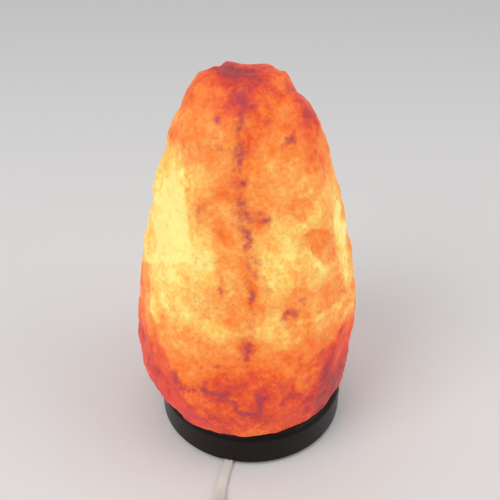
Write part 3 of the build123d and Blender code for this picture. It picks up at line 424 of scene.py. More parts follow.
# %% [markdown]
# ## Shared effects
# Most finishes vary in the same few ways: cloudy patches, fine specks, long grain and small bumps. Each
# of these is a node group with named sockets, made once and placed with its own values. A group gives
# out only values and normals. The shader stays in the material.


# %% Helpers for node trees
def put(tree, kind, values=None, **settings):
    """A new node with its settings, and values for its inputs by name."""
    made = tree.nodes.new(kind)
    for name, value in settings.items():
        setattr(made, name, value)
    for name, value in (values or {}).items():
        made.inputs[name].default_value = value
    return made


def wire(tree, *links):
    """Links, each given as a node and its output, then a node and its input."""
    for source, out, target, into in links:
        tree.links.new(source.outputs[out], target.inputs[into])


def new_group(name, inputs, outputs=("Mask",)):
    """An empty group read at a place, with its other inputs' defaults, and its two end nodes."""
    group = bpy.data.node_groups.new(name, "ShaderNodeTree")
    face = group.interface
    face.new_socket("Place", in_out="INPUT", socket_type="NodeSocketVector")
    for socket, default in inputs.items():
        kind = "NodeSocketVector" if isinstance(default, tuple) else "NodeSocketFloat"
        face.new_socket(socket, in_out="INPUT", socket_type=kind).default_value = default
    for socket in outputs:
        kind = "NodeSocketVector" if socket == "Normal" else "NodeSocketFloat"
        face.new_socket(socket, in_out="OUTPUT", socket_type=kind)
    return group, put(group, "NodeGroupInput"), put(group, "NodeGroupOutput")


def put_group(tree, place, group, values):
    """A node that holds a group, with values for its inputs, read at the place on the object."""
    made = put(tree, "ShaderNodeGroup", values, node_tree=group)
    wire(tree, (place, "Object", made, "Place"))
    return made


# %% Cloudy patches
clouds, inside, outside = new_group(
    "clouds", {"Patches a metre": 100.0, "Detail": 4.0, "Low": 0.3, "High": 0.7})
texture = put(clouds, "ShaderNodeTexNoise", {"Roughness": 0.6})
spread = put(clouds, "ShaderNodeMapRange", interpolation_type="SMOOTHSTEP")
wire(
    clouds,
    (inside, "Place", texture, "Vector"),
    (inside, "Patches a metre", texture, "Scale"),
    (inside, "Detail", texture, "Detail"),
    (texture, "Fac", spread, "Value"),
    (inside, "Low", spread, "From Min"),
    (inside, "High", spread, "From Max"),
    (spread, "Result", outside, "Mask"),
)

# %% Fine specks
SPECK_EDGE = 6.0                 # how sharp a speck's edge is
specks, inside, outside = new_group("specks", {"Specks a metre": 600.0, "Size": 0.25})
cells = put(specks, "ShaderNodeTexVoronoi", {"Randomness": 1.0})
near = put(specks, "ShaderNodeMath", operation="SUBTRACT")
sharp = put(specks, "ShaderNodeMath", {1: SPECK_EDGE}, operation="MULTIPLY", use_clamp=True)
wire(
    specks,
    (inside, "Place", cells, "Vector"),
    (inside, "Specks a metre", cells, "Scale"),
    (inside, "Size", near, 0),
    (cells, "Distance", near, 1),
    (near, "Value", sharp, 0),
    (sharp, "Value", outside, "Mask"),
)

# %% Crystal grains, each a little lighter or darker than the next
grains, inside, outside = new_group("grains", {"Grains a metre": 300.0, "Warp": 0.002})
texture = put(grains, "ShaderNodeTexNoise", {"Detail": 4.0, "Roughness": 0.6})
centred = put(grains, "ShaderNodeVectorMath", {1: (0.5, 0.5, 0.5)}, operation="SUBTRACT")
reach = put(grains, "ShaderNodeVectorMath", operation="SCALE")
moved = put(grains, "ShaderNodeVectorMath", operation="ADD")
cells = put(grains, "ShaderNodeTexVoronoi", {"Smoothness": 0.25}, feature="SMOOTH_F1")
shade = put(grains, "ShaderNodeSeparateColor")
wire(
    grains,
    (inside, "Place", texture, "Vector"),
    (inside, "Grains a metre", texture, "Scale"),
    (texture, "Color", centred, 0),
    (centred, "Vector", reach, 0),
    (inside, "Warp", reach, "Scale"),
    (inside, "Place", moved, 0),
    (reach, "Vector", moved, 1),
    (moved, "Vector", cells, "Vector"),
    (inside, "Grains a metre", cells, "Scale"),
    (cells, "Color", shade, "Color"),
    (shade, "Red", outside, "Mask"),
)
print("nodes in the groups:", len(clouds.nodes), len(specks.nodes), len(grains.nodes))


# %% Bumps and long grain
def bump_group(name, scale_name, scale, depth, texture_values, stretch=None):
    """A group with the bumps of one noise. Wood and drawn metal stretch it into long lines."""
    sockets = {scale_name: scale, "Depth": depth}
    if stretch:
        sockets["Stretch"] = stretch
    group, inside, outside = new_group(name, sockets, ("Normal", "Mask"))
    read_at = inside, "Place"
    if stretch:
        pulled = put(group, "ShaderNodeVectorMath", operation="MULTIPLY")
        wire(group, (inside, "Place", pulled, 0), (inside, "Stretch", pulled, 1))
        read_at = pulled, "Vector"
    texture = put(group, "ShaderNodeTexNoise", texture_values)
    bump = put(group, "ShaderNodeBump", {"Strength": 1.0})
    wire(
        group,
        (*read_at, texture, "Vector"),
        (inside, scale_name, texture, "Scale"),
        (texture, "Fac", bump, "Height"),
        (inside, "Depth", bump, "Distance"),
        (bump, "Normal", outside, "Normal"),
        (texture, "Fac", outside, "Mask"),
    )
    return group


fine_bumps = bump_group(
    "fine_bumps", "Bumps a metre", 1500.0, 0.00005, {"Detail": 3.0, "Roughness": 0.55})
long_grain = bump_group(
    "long_grain", "Lines a metre", 60.0, 0.0001,
    {"Detail": 6.0, "Roughness": 0.65, "Distortion": 0.4}, stretch=(1.0, 12.0, 12.0))
print("groups:", [group.name for group in bpy.data.node_groups])


# %% Helpers for finishes
def placed_material(name, **values):
    """A plain material with a node that says where on the object a point lies."""
    material, tree, shader = plain_material(name, **values)
    return material, tree, shader, put(tree, "ShaderNodeTexCoord")


def two_tone(tree, shader, mask, first, second, out="Mask"):
    """The base colour runs from one colour to another along a node's mask."""
    mix = put(tree, "ShaderNodeMix", {"A": (*first, 1), "B": (*second, 1)}, data_type="RGBA")
    wire(tree, (mask, out, mix, "Factor"), (mix, "Result", shader, "Base Color"))


def rough_range(tree, shader, mask, low, high):
    """The roughness runs between two values along a node's mask."""
    spread = put(tree, "ShaderNodeMapRange", {"To Min": low, "To Max": high})
    wire(tree, (mask, "Mask", spread, "Value"), (spread, "Result", shader, "Roughness"))


# %% [markdown]
# ## The rock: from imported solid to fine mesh
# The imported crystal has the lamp's true outline but only a few hundred flats. Rock salt breaks in
# scallops and small steps, is rubbed round where it was handled, and is pitted where damp air got at it.
# The way here is to remesh a copy finely and move its points in code. Only the outer skin moves. The
# bore, the screw anchors' holes and the foot that meets the base stay as they are.

# %% A fine copy of the rock
ROCK_VOXEL = 0.0013
rock = new_object("rock", node["salt_crystal"].data.copy())
weld = rock.modifiers.new("weld", "WELD")
weld.merge_threshold = 0.00001
remesh = rock.modifiers.new("remesh", "REMESH")
remesh.mode = "VOXEL"
remesh.voxel_size = ROCK_VOXEL
rock_now = rock.evaluated_get(bpy.context.evaluated_depsgraph_get())
fine_mesh = bpy.data.meshes.new_from_object(rock_now)
rock.modifiers.clear()
rock.data = fine_mesh
count = len(fine_mesh.vertices)
print("fine rock:", count, "points")


# %% Places and normals as arrays
NOISE_FALL = 0.9                 # how fast finer waves lose height
NOISE_FINER = 2.0                # how much finer each wave is than the last


def array_of(values, name):
    """Three numbers for each point of a mesh, as an array."""
    flat = np.zeros(len(values) * 3)
    values.foreach_get(name, flat)
    return flat.reshape(-1, 3)


def smooth_step(value, low, high):
    """0 below low, 1 above high, and an even turn between."""
    share = np.clip((value - low) / (high - low), 0, 1)
    return share * share * (3 - 2 * share)


def wander(points, size, octaves=3, shift=0.0):
    """Cloudy noise from about -1 to 1 whose patches are as large as the size says."""
    scaled = np.asarray(points) / size + shift
    return np.array([noise.fractal(Vector(p), NOISE_FALL, NOISE_FINER, octaves) for p in scaled])


spots = array_of(fine_mesh.vertices, "co")
outward = array_of(fine_mesh.vertex_normals, "vector")

# %% [markdown]
# ## Which points are skin
# A point is outer skin when it's neither near the bore's wall nor near an anchor's hole nor on the foot.
# The bore is 46 mm wide and its crown is at 112 mm. The mask fades in over a few millimetres, so that
# the skin has no step where it meets the base.

# %% Skin mask
BORE_RADIUS = 0.023
BORE_CROWN = 0.112
ANCHOR_RING = 0.042              # radius of the ring of three anchors
ANCHOR_REACH = 0.006             # how far from an anchor's axis its hole's wall lies
ANCHOR_TOP = 0.055
from_axis = np.hypot(spots[:, 0] - LAMP_X, spots[:, 1])
in_bore = (from_axis < BORE_RADIUS + 0.002) & (spots[:, 2] < BORE_CROWN + 0.003)
in_hole = np.zeros(count, bool)
for turn in range(3):
    angle = radians(90 + 120 * turn)
    hole_x = LAMP_X + ANCHOR_RING * cos(angle)
    away = np.hypot(spots[:, 0] - hole_x, spots[:, 1] - ANCHOR_RING * sin(angle))
    in_hole |= (away < ANCHOR_REACH) & (spots[:, 2] < ANCHOR_TOP)
skin = smooth_step(spots[:, 2], ROCK_FOOT + 0.0003, ROCK_FOOT + 0.004)
skin[in_bore | in_hole] = 0
print("skin points:", int((skin > 0).sum()))

# %% [markdown]
# ## Chips and scallops
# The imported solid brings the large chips, three centimetres across. Fresh breaks cover these with shallow
# scallops of one centimetre. Each scallop is a cell round a seed point. Inside its cell the skin tips a
# little one way, and neighbouring cells meet in a soft ridge. A soft minimum over the distances to all
# seeds gives that ridge its roundness.

# %% Seeds spread over the skin
POINTS_AT_ONCE = 8000            # keeps the array of distances small
dice = np.random.default_rng(11)


def spread_seeds(number, least):
    """Random skin points that keep a least distance from each other."""
    candidates = np.flatnonzero(skin > 0.99)
    chosen = []
    for index in dice.permutation(candidates):
        place = spots[index]
        if all(np.linalg.norm(place - spots[other]) > least for other in chosen):
            chosen.append(index)
        if len(chosen) == number:
            break
    return np.array(chosen)


def facet_heights(seeds, softness, tip, step):
    """Each point's move along its normal, from the tipped facets round the seeds."""
    tilts = dice.normal(0, tip, (len(seeds), 3))
    steps = dice.normal(0, step, len(seeds))
    heights = np.zeros(count)
    for first in range(0, count, POINTS_AT_ONCE):
        part = slice(first, first + POINTS_AT_ONCE)
        away = spots[part, None, :] - spots[None, seeds, :]
        distance = np.linalg.norm(away, axis=2)
        closeness = np.exp(-(distance - distance.min(1, keepdims=True)) / softness)
        closeness /= closeness.sum(1, keepdims=True)
        height = steps[None, :] + (away * tilts[None]).sum(2)
        heights[part] = (closeness * height).sum(1)
    return heights


broad_seeds = spread_seeds(number=110, least=0.018)
small_seeds = spread_seeds(number=420, least=0.0085)
print("facets:", len(broad_seeds), "broad,", len(small_seeds), "small")

# %% The skin's moves
MOST_IN, MOST_OUT = -0.0014, 0.0011
broad = facet_heights(broad_seeds, softness=0.0012, tip=0.045, step=0.0002)
small = facet_heights(small_seeds, softness=0.0009, tip=0.075, step=0.00012)
swell = wander(spots, 0.034, 2)
lumps = wander(spots, 0.011, 3, shift=7.3)
crumbs = wander(spots, 0.0036, 3, shift=3.1)
moves = 0.5 * broad + 0.9 * small + 0.0002 * swell + 0.00045 * lumps + 0.00028 * crumbs
moves = np.clip(moves, MOST_IN, MOST_OUT)
print("mean move in mm:", (1000 * np.abs(moves[skin > 0.9]).mean()).round(2))

# %% [markdown]
# ## What the picture shows on the rock
# Several marks can be told apart on the front: scalloped chips at the right, a ridge that runs down the
# left, a broken brown vein up the middle and another along the foot. Each is given by its place in the
# picture. Where a rock point falls in the picture says how near it is to such a mark, and a little
# noise on that place makes the mark's edge as ragged as a real one.

# %% Rock points in the picture
columns_rows = picture_place(spots)
ragged = np.column_stack([wander(spots, 0.007, 3, shift=1.7), wander(spots, 0.007, 3, shift=5.9)])
finely = np.column_stack([wander(spots, 0.0022, 2, shift=2.2), wander(spots, 0.0022, 2, shift=8.4)])
seen_at = columns_rows + 3.2 * ragged + 1.2 * finely
seen_sharp = columns_rows + 0.8 * ragged + 0.6 * finely
to_camera = np.array(CAMERA_PLACE) - spots
to_camera /= np.linalg.norm(to_camera, axis=1, keepdims=True)
facing = smooth_step((outward * to_camera).sum(1), -0.25, 0.1)
facing[in_bore] = 0


def gap_to_run(places, start, end):
    """How far places in the picture lie from the straight run between two of its points."""
    run = np.subtract(end, start).astype(float)
    share = np.clip(((places - start) @ run) / (run @ run), 0, 1)
    return np.hypot(*(places - start - share[:, None] * run).T)


def gap_to_line(places, corners):
    """How far places in the picture lie from a broken line."""
    return np.min([gap_to_run(places, a, b) for a, b in zip(corners, corners[1:])], axis=0)


def near_line(corners, width):
    """1 on a broken line through the picture, falling off over a width in pixels."""
    return np.exp(-((gap_to_line(seen_at, corners) / width) ** 2)) * facing


def near_spot(column, row, radius, tall=1.0):
    """1 at a spot in the picture, falling off over its radius. A tall spot is stretched upright."""
    gap = np.hypot(seen_at[:, 0] - column, (seen_at[:, 1] - row) / tall)
    return np.exp(-((gap / radius) ** 2)) * facing


def inside_area(corners, softness):
    """1 inside a closed outline in the picture, 0 outside, with a soft edge."""
    closed = corners + corners[:1]
    least = gap_to_line(seen_sharp, closed)
    inside_it = np.zeros(count, bool)
    x, y = seen_sharp.T
    for (ax, ay), (bx, by) in zip(closed, closed[1:]):
        if ay != by:
            crosses = (ay > y) != (by > y)
            inside_it ^= crosses & (x < (bx - ax) * (y - ay) / (by - ay) + ax)
    return smooth_step(np.where(inside_it, least, -least), -softness, softness) * facing


# %% Marks on the front
left_flank = inside_area([
    (120, 100), (181, 108), (184, 128), (182, 150), (185, 172), (184, 190), (188, 212), (188, 235),
    (192, 250), (190, 262), (150, 262), (120, 262),
], 2.4)
shaded_foot = inside_area([
    (100, 262), (146, 266), (150, 282), (152, 304), (158, 326), (162, 342), (171, 360), (175, 376),
    (181, 391), (193, 406), (209, 422), (200, 450), (100, 450),
], 2.4)
right_strip = inside_area([
    (337, 200), (346, 225), (347, 250), (352, 275), (350, 292), (344, 284), (338, 258), (333, 220),
], 2.2)
right_foot = inside_area([
    (354, 300), (343, 322), (333, 340), (322, 352), (324, 372), (318, 392), (312, 415), (340, 420),
    (400, 400), (400, 290),
], 2.6)
upper_chip = inside_area([
    (291, 206), (295, 200), (303, 198), (312, 200), (315, 209), (311, 217), (303, 224), (295, 219),
], 1.3)
lower_chip = inside_area([
    (304, 236), (313, 230), (325, 230), (336, 235), (340, 246), (334, 260), (326, 266), (316, 257),
    (308, 248),
], 1.3)
VEIN_CORNERS = [
    (243, 92), (240, 118), (241, 150), (239, 170), (240, 188), (244, 208), (247, 224), (247, 250),
    (251, 268), (253, 300), (249, 326), (246, 345), (246, 358),
]
middle_vein = near_line(VEIN_CORNERS, 5.5)
vein_haze = near_line(VEIN_CORNERS, 11.0)
foot_vein = near_line([
    (174, 372), (181, 384), (190, 389), (204, 392), (214, 396), (224, 395), (232, 403), (239, 411),
    (248, 414), (257, 417), (262, 408),
], 2.6)
print("points in the shaded foot:", int((shaded_foot > 0.5).sum()))

# %% Shape of the marks
left_ridge = near_line([(150, 252), (152, 300), (160, 340), (171, 366), (178, 388), (190, 405)], 4.0)
flank_ridge = near_line([(181, 112), (184, 150), (184, 185), (187, 235)], 3.0)
marks = (
    -0.0009 * upper_chip - 0.0011 * lower_chip - 0.0004 * middle_vein - 0.0003 * foot_vein
    + 0.0008 * left_ridge + 0.0005 * flank_ridge
    - 0.0010 * near_spot(246, 62, 9) + 0.0004 * near_spot(228, 66, 7) + 0.0006 * near_spot(266, 65, 8)
)
spots = spots + outward * ((moves + marks) * skin)[:, None]
spots[:, 2] = np.maximum(spots[:, 2], ROCK_FOOT)
fine_mesh.vertices.foreach_set("co", spots.ravel())
fine_mesh.update()
for face in fine_mesh.polygons:
    face.use_smooth = True
outward = array_of(fine_mesh.vertex_normals, "vector")
print("rock box in mm:", (1000 * spots.min(0)).round(1), (1000 * spots.max(0)).round(1))

# %% [markdown]
# ## How the rock glows
# The bulb lights the rock from inside. Light fades with the way that it goes through the salt, so thin
# places are yellow, thick ones orange, and the thickest, at the foot and the crown, red. The distance
# from a point of the skin to the middle of the bore stands for that way. Cloudy inclusions then lighten
# and darken it, and the marks of the front add what the picture shows there.

# %% Glow from the rock's thickness
LIGHT_LOW, LIGHT_HIGH = 0.060, 0.150     # levels that the bulb lights most
THINNEST = 0.040                 # the way through the salt where it glows most
FADE = 0.040                     # how much longer a way brings the glow down to a third
DEEP_GLOW = 0.36                 # what is left where the way is longest
THIN_GLOW = 0.44                 # what a thin place adds
level = np.clip(spots[:, 2], LIGHT_LOW, LIGHT_HIGH)
through = np.sqrt((spots[:, 0] - LAMP_X) ** 2 + spots[:, 1] ** 2 + (spots[:, 2] - level) ** 2)
thin = np.exp(-(through - THINNEST) / FADE)
glow = DEEP_GLOW + THIN_GLOW * np.clip(thin, 0, 1.3)
glow -= 0.20 * smooth_step(spots[:, 2], 0.200, 0.250)         # the crown
glow -= 0.31 * smooth_step(-spots[:, 2], -0.105, -0.034)      # the foot
broad_clouds = wander(spots, 0.045, 2, shift=12.0)
swirl = np.column_stack([wander(spots, 0.018, 2, shift=30.0 + 4 * axis) for axis in range(3)])
swirled = spots + 0.0045 * swirl
clouds_mid = np.tanh(1.7 * wander(swirled * (1, 1, 0.7), 0.015, 4, shift=4.4))
clouds_fine = wander(swirled, 0.005, 3, shift=9.1)
glow += 0.24 * broad_clouds * (1 - 0.7 * facing) + 0.075 * clouds_mid + 0.06 * clouds_fine
# Painted shade and highlight: the glow is raised on facets that stand out and lowered in sunken ones.
glow += 70.0 * np.clip(small + broad, -0.0008, 0.0008) * (skin > 0.5)
print("glow before the marks:", glow.min().round(2), glow.max().round(2))

# %% Glow from the picture
GLOW_SPOTS = [
    # column, row, radius, how tall, change
    (172, 268, 22, 1.8, 0.32), (198, 262, 18, 1.6, 0.2), (170, 205, 15, 2.6, 0.12),
    (275, 268, 22, 1.1, 0.16), (279, 333, 24, 0.7, 0.2), (220, 333, 18, 0.8, 0.15),
    (300, 178, 22, 0.7, 0.08), (192, 180, 14, 1.3, 0.14), (322, 160, 12, 1.8, -0.14),
    (228, 71, 17, 0.8, -0.29), (256, 76, 16, 0.9, -0.23), (200, 115, 20, 1.4, 0.08),
    (322, 385, 20, 1.3, -0.2), (250, 360, 16, 1.2, -0.08), (310, 265, 16, 1, 0.08),
    (205, 265, 10, 1.2, 0.1), (280, 225, 12, 1, 0.06), (175, 134, 11, 1.6, -0.2),
    (210, 121, 13, 1, 0.13), (222, 190, 11, 1.6, -0.17), (236, 200, 10, 1.6, -0.1),
    (262, 221, 11, 1.4, -0.26), (205, 206, 10, 1, -0.1), (190, 238, 7, 2.2, -0.12),
    (296, 254, 12, 1.2, 0.16), (162, 306, 13, 1.3, 0.12), (180, 316, 13, 0.9, 0.14),
    (205, 324, 13, 0.9, 0.14), (220, 294, 8, 1.2, -0.14), (256, 306, 14, 0.7, -0.1),
    (295, 311, 9, 0.6, -0.1), (313, 305, 9, 0.9, 0.12), (343, 308, 8, 1.6, 0.15), (235, 322, 7, 1, -0.1),
    (312, 350, 15, 1, -0.19), (341, 346, 12, 1.4, -0.14), (288, 358, 15, 0.8, -0.12),
    (222, 380, 15, 0.8, -0.16), (238, 387, 11, 0.9, -0.1), (265, 370, 11, 0.9, -0.13),
    (282, 392, 13, 0.9, -0.12), (266, 402, 10, 0.6, -0.1), (240, 100, 15, 1, -0.14),
    (252, 118, 9, 1.2, -0.1), (296, 102, 12, 2, -0.1), (310, 124, 13, 2.4, -0.36),
    (250, 145, 9, 1.2, -0.22), (220, 235, 9, 1.4, -0.16), (280, 180, 12, 1, -0.08),
    (309, 168, 10, 1.3, -0.15), (235, 258, 8, 1.3, 0.06), (258, 126, 13, 1.9, -0.12),
    (296, 88, 10, 1, -0.1), (192, 162, 9, 1.2, -0.08), (237, 184, 11, 1.5, -0.15),
    (190, 274, 9, 1.6, -0.08), (236, 284, 8, 1, -0.1), (308, 312, 9, 0.8, 0.08),
    (336, 328, 9, 0.9, -0.15), (196, 390, 19, 1.2, -0.11), (250, 410, 12, 0.9, -0.08),
    (300, 408, 16, 0.9, -0.13), (205, 352, 12, 0.8, -0.05), (268, 358, 12, 0.8, 0.06),
    (281, 302, 9, 1, -0.12), (150, 300, 8, 2, 0.06),
]
for *spot, change in GLOW_SPOTS:
    glow += change * near_spot(*spot)
glow -= 0.08 * near_line([(240, 165), (243, 208), (247, 250), (253, 300)], 10)
glow += 0.20 * left_flank + 0.26 * right_strip - 0.12 * shaded_foot - 0.14 * right_foot
glow -= 0.15 * upper_chip + 0.16 * lower_chip
GLOW_LINES = [
    # corners, width, change
    ([(297, 322), (313, 320), (329, 311), (350, 296)], 2.4, 0.13),
    ([(300, 330), (318, 327), (336, 316)], 4.0, 0.06),
    ([(352, 303), (340, 326), (329, 344), (318, 354)], 2.6, 0.10),
    ([(300, 208), (303, 222), (315, 262), (325, 270)], 2.2, 0.08),
    ([(183, 112), (186, 132), (184, 160), (184, 196)], 2.0, 0.12),
    ([(181, 118), (184, 146)], 3.0, -0.12),
    ([(152, 262), (154, 304), (162, 342), (173, 366), (180, 388), (194, 408)], 2.2, 0.08),
    ([(205, 330), (226, 344), (240, 354)], 2.4, 0.07),
    ([(262, 356), (285, 345), (300, 336)], 2.6, 0.06),
    ([(193, 250), (212, 268), (216, 292)], 2.4, 0.07),
    ([(258, 240), (262, 262), (274, 286)], 2.6, 0.06),
]
for corners, width, change in GLOW_LINES:
    glow += change * near_line(corners, width)
glow = np.clip(glow, 0.02, 1)
print("glow:", glow.min().round(2), glow.max().round(2))

# %% [markdown]
# ## Veins, stains and pits
# Clay and iron leave brown stains in the salt. They gather along old cracks and in pits. The stain mask
# joins the front's veins and spots with others strewn over the whole rock, so that it looks as natural
# from behind. A second mask says where the small pits crowd.

# %% Stain mask
stain = 0.46 * middle_vein * smooth_step(clouds_fine, -0.7, 0.5)
stain += 0.34 * vein_haze * smooth_step(clouds_mid, -0.6, 0.7)
stain += 0.95 * foot_vein * smooth_step(clouds_fine, -0.8, 0.2)
STAIN_SPOTS = [
    # column, row, radius, how tall, amount
    (217, 121, 4.5, 0.8, 0.9), (289, 140, 6, 0.7, 1.1), (267, 122, 4.5, 1, 0.7), (309, 114, 8, 1.1, 0.4),
    (234, 92, 3, 1, 0.6), (252, 108, 2.5, 0.8, 0.8), (287, 91, 4, 0.7, 0.5), (226, 70, 13, 0.7, 0.55),
    (248, 84, 9, 1.1, 0.3), (206, 148, 9, 0.9, 0.28), (224, 146, 8, 1, 0.26), (203, 212, 9, 1.2, 0.36),
    (267, 222, 5.5, 0.9, 0.75), (261, 213, 5, 0.8, 0.34), (241, 157, 8, 1.2, 0.4),
    (253, 152, 5, 1, 0.36), (221, 291, 3.2, 1.2, 0.75), (221, 280, 2.2, 3, 0.5),
    (292, 314, 9, 0.6, 0.85), (303, 302, 6, 0.9, 0.36), (284, 318, 4, 0.8, 0.5), (268, 289, 6, 0.6, 0.4),
    (253, 299, 3.5, 2.2, 0.6), (246, 350, 8, 1.1, 0.5), (217, 367, 3, 0.7, 0.9), (228, 369, 4, 0.5, 0.4),
    (204, 367, 2.2, 1, 0.6), (205, 389, 3, 3.4, 0.5), (218, 398, 8, 0.6, 0.55), (224, 392, 5, 1, 0.6),
    (260, 401, 5, 1.2, 1.1), (256, 394, 8, 0.7, 0.4), (282, 402, 3, 2.6, 0.65), (278, 384, 6, 0.9, 0.4),
    (240, 385, 9, 0.7, 0.3), (253, 415, 9, 0.5, 0.5), (328, 368, 11, 1.2, 0.3), (322, 378, 6, 1.6, 0.25),
    (321, 340, 2.5, 3.6, 0.4), (345, 292, 4, 0.5, 0.4), (313, 157, 2.5, 2, 0.5),
    (232, 225, 2.2, 0.7, 0.7), (165, 165, 3, 1.2, 0.4), (188, 100, 4, 1.6, 0.4),
    (204, 315, 6, 1.1, 0.35), (196, 300, 7, 1.2, 0.3), (305, 250, 3, 2, 0.25), (170, 132, 8, 1.4, 0.25),
]
for *spot, amount in STAIN_SPOTS:
    stain += amount * near_spot(*spot)
stain += 0.22 * lower_chip * smooth_step(clouds_fine, -0.2, 0.5)
elsewhere = 1 - facing
creases = np.abs(wander(spots * (1, 1, 0.35), 0.03, 2, shift=15.0))
stain += elsewhere * 0.55 * smooth_step(-creases, -0.16, -0.01) * smooth_step(clouds_mid, -0.1, 0.6)
stain += elsewhere * 0.55 * smooth_step(wander(spots, 0.012, 2, shift=21.0), 0.42, 0.8)
stain = np.clip(stain * (0.75 + 0.5 * clouds_fine), 0, 1) * smooth_step(skin, 0.0, 0.3)
glow = np.clip(glow - 0.16 * stain, 0.02, 1)
print("stained points:", int((stain > 0.3).sum()))

# %% Painted red fade at the foot, pit mask, and the four kept on the points
# Painted shade: the glow is laid redder and dimmer over the lower shaded foot, the right foot and the
# rock's low back.
foot_red_fade = 0.30 * shaded_foot * smooth_step(columns_rows[:, 1], 300, 380) + 0.1 * right_foot
foot_red_fade += 0.25 * smooth_step(-spots[:, 2], -0.07, -0.03) * elsewhere
foot_red_fade = np.clip(foot_red_fade + 0.1 * clouds_mid, 0, 1)
pitted = 0.3 + 0.6 * near_spot(207, 300, 22) + 0.5 * near_spot(235, 385, 30, 0.7) + 0.5 * middle_vein
pitted += 0.5 * near_spot(214, 214, 16) + 0.4 * near_spot(300, 250, 26) + 0.35 * clouds_mid
pitted = np.clip(pitted, 0, 1) * smooth_step(skin, 0.0, 0.3)
inside_light = smooth_step(-spots[:, 2], -BORE_CROWN, -ROCK_FOOT - 0.02)
glow[in_bore] = (0.95 - 0.35 * inside_light)[in_bore]
for name, values in (("glow", glow), ("stain", stain), ("foot_red_fade", foot_red_fade), ("pitted", pitted)):
    layer = fine_mesh.attributes.new(name, "FLOAT", "POINT")
    layer.data.foreach_set("value", np.asarray(values, np.float32))
print("masks kept:", [layer.name for layer in fine_mesh.attributes if layer.domain == "POINT"])

# %% [markdown]
# ## The rock's finish
# The colour comes from one ramp that runs from purple-brown through red and orange to pale yellow, read
# at the glow. A smaller share of that glow colour is painted into the surface's own colour, as painted glow
# that takes the studio's light, and the larger part is given out, because the real rock is lit from behind
# its skin. In a dark room the same material glows. Fine noise breaks up the ramp so that no step shows.

# %% Glow colours, also painted into the rock's surface colour
GLOW_COLOURS = [
    (0.00, (0.33, 0.040, 0.045)), (0.14, (0.62, 0.049, 0.034)), (0.28, (0.83, 0.091, 0.022)),
    (0.42, (0.95, 0.188, 0.024)), (0.55, (0.975, 0.276, 0.046)), (0.68, (0.98, 0.408, 0.088)),
    (0.80, (0.985, 0.575, 0.115)), (0.91, (0.99, 0.755, 0.205)), (1.00, (0.995, 0.870, 0.275)),
]
PAINTED_GLOW_SHARE = 0.36
GIVEN_SHARE = 0.67

rock_finish, tree, shader, place = placed_material(
    "glowing_salt", Emission_Strength=1.0, Specular_IOR_Level=0.28)
ramp = put(tree, "ShaderNodeValToRGB")
while len(ramp.color_ramp.elements) < len(GLOW_COLOURS):
    ramp.color_ramp.elements.new(0.5)
for stop, (position, colour) in zip(ramp.color_ramp.elements, GLOW_COLOURS):
    stop.position = position
    stop.color = (*colour, 1)
print("ramp stops:", len(ramp.color_ramp.elements))


# %% Fine unevenness of the glow
def kept_mask(name):
    """A value kept on the rock's points, as a node and its output."""
    return put(tree, "ShaderNodeAttribute", attribute_name=name), "Fac"


def made_uneven(value, group, values, strength):
    """A value that a group's mask raises and lowers, by half the strength each way."""
    source = put_group(tree, place, group, values)
    part = put(tree, "ShaderNodeMath", {1: strength, 2: -strength / 2}, operation="MULTIPLY_ADD")
    total = put(tree, "ShaderNodeMath", operation="ADD")
    wire(tree, (source, "Mask", part, 0), (*value, total, 0), (part, "Value", total, 1))
    return total, "Value"


glow_here = kept_mask("glow")
for group, values, strength in (
    (clouds, {"Patches a metre": 420.0, "Detail": 6.0}, 0.10),
    (clouds, {"Patches a metre": 1500.0, "Detail": 3.0}, 0.07),
    (grains, {"Grains a metre": 190.0, "Warp": 0.0045}, 0.11),
    (grains, {"Grains a metre": 520.0, "Warp": 0.0016}, 0.08),
):
    glow_here = made_uneven(glow_here, group, values, strength)
glow_here[0].use_clamp = True
wire(tree, (*glow_here, ramp, "Fac"))
print("nodes up to the ramp:", len(tree.nodes))

# %% Blush, stains and pits over the glow
STAIN_COLOUR = (0.40, 0.050, 0.070, 1)
PIT_COLOUR = (0.34, 0.06, 0.05, 1)
FOOT_FADE_COLOUR = (0.80, 0.055, 0.062, 1)
PIT_STRENGTH = 0.7


def laid_over(under, colour, amount):
    """One colour laid over another as far as a mask says."""
    mix = put(tree, "ShaderNodeMix", {"B": colour}, data_type="RGBA")
    wire(tree, (*amount, mix, "Factor"), (*under, mix, "A"))
    return mix, "Result"


torn_patches = {"Patches a metre": 330.0, "Detail": 8.0, "Low": 0.25, "High": 0.75}
torn = made_uneven(kept_mask("stain"), clouds, torn_patches, 0.6)
torn_edge = put(tree, "ShaderNodeMapRange", {"From Min": 0.12, "From Max": 0.80, "To Max": 0.82})
pits = put_group(tree, place, specks, {"Specks a metre": 420.0, "Size": 0.2})
thin_pits = put_group(
    tree, place, clouds, {"Patches a metre": 260.0, "Detail": 2.0, "Low": 0.5, "High": 0.62})
pit_here = put(tree, "ShaderNodeMath", operation="MULTIPLY")
pit_mask = put(tree, "ShaderNodeMath", operation="MULTIPLY")
pit_part = put(tree, "ShaderNodeMath", {1: PIT_STRENGTH}, operation="MULTIPLY")
wire(
    tree,
    (*torn, torn_edge, "Value"),
    (pits, "Mask", pit_here, 0), (thin_pits, "Mask", pit_here, 1),
    (pit_here, "Value", pit_mask, 0), (*kept_mask("pitted"), pit_mask, 1),
    (pit_mask, "Value", pit_part, 0),
)
# Painted shade: the foot's red fade is laid over the glow colour.
foot_faded = laid_over((ramp, "Color"), FOOT_FADE_COLOUR, kept_mask("foot_red_fade"))
stained = laid_over(foot_faded, STAIN_COLOUR, (torn_edge, "Result"))
pocked = laid_over(stained, PIT_COLOUR, (pit_part, "Value"))
print("rock material nodes:", len(tree.nodes))
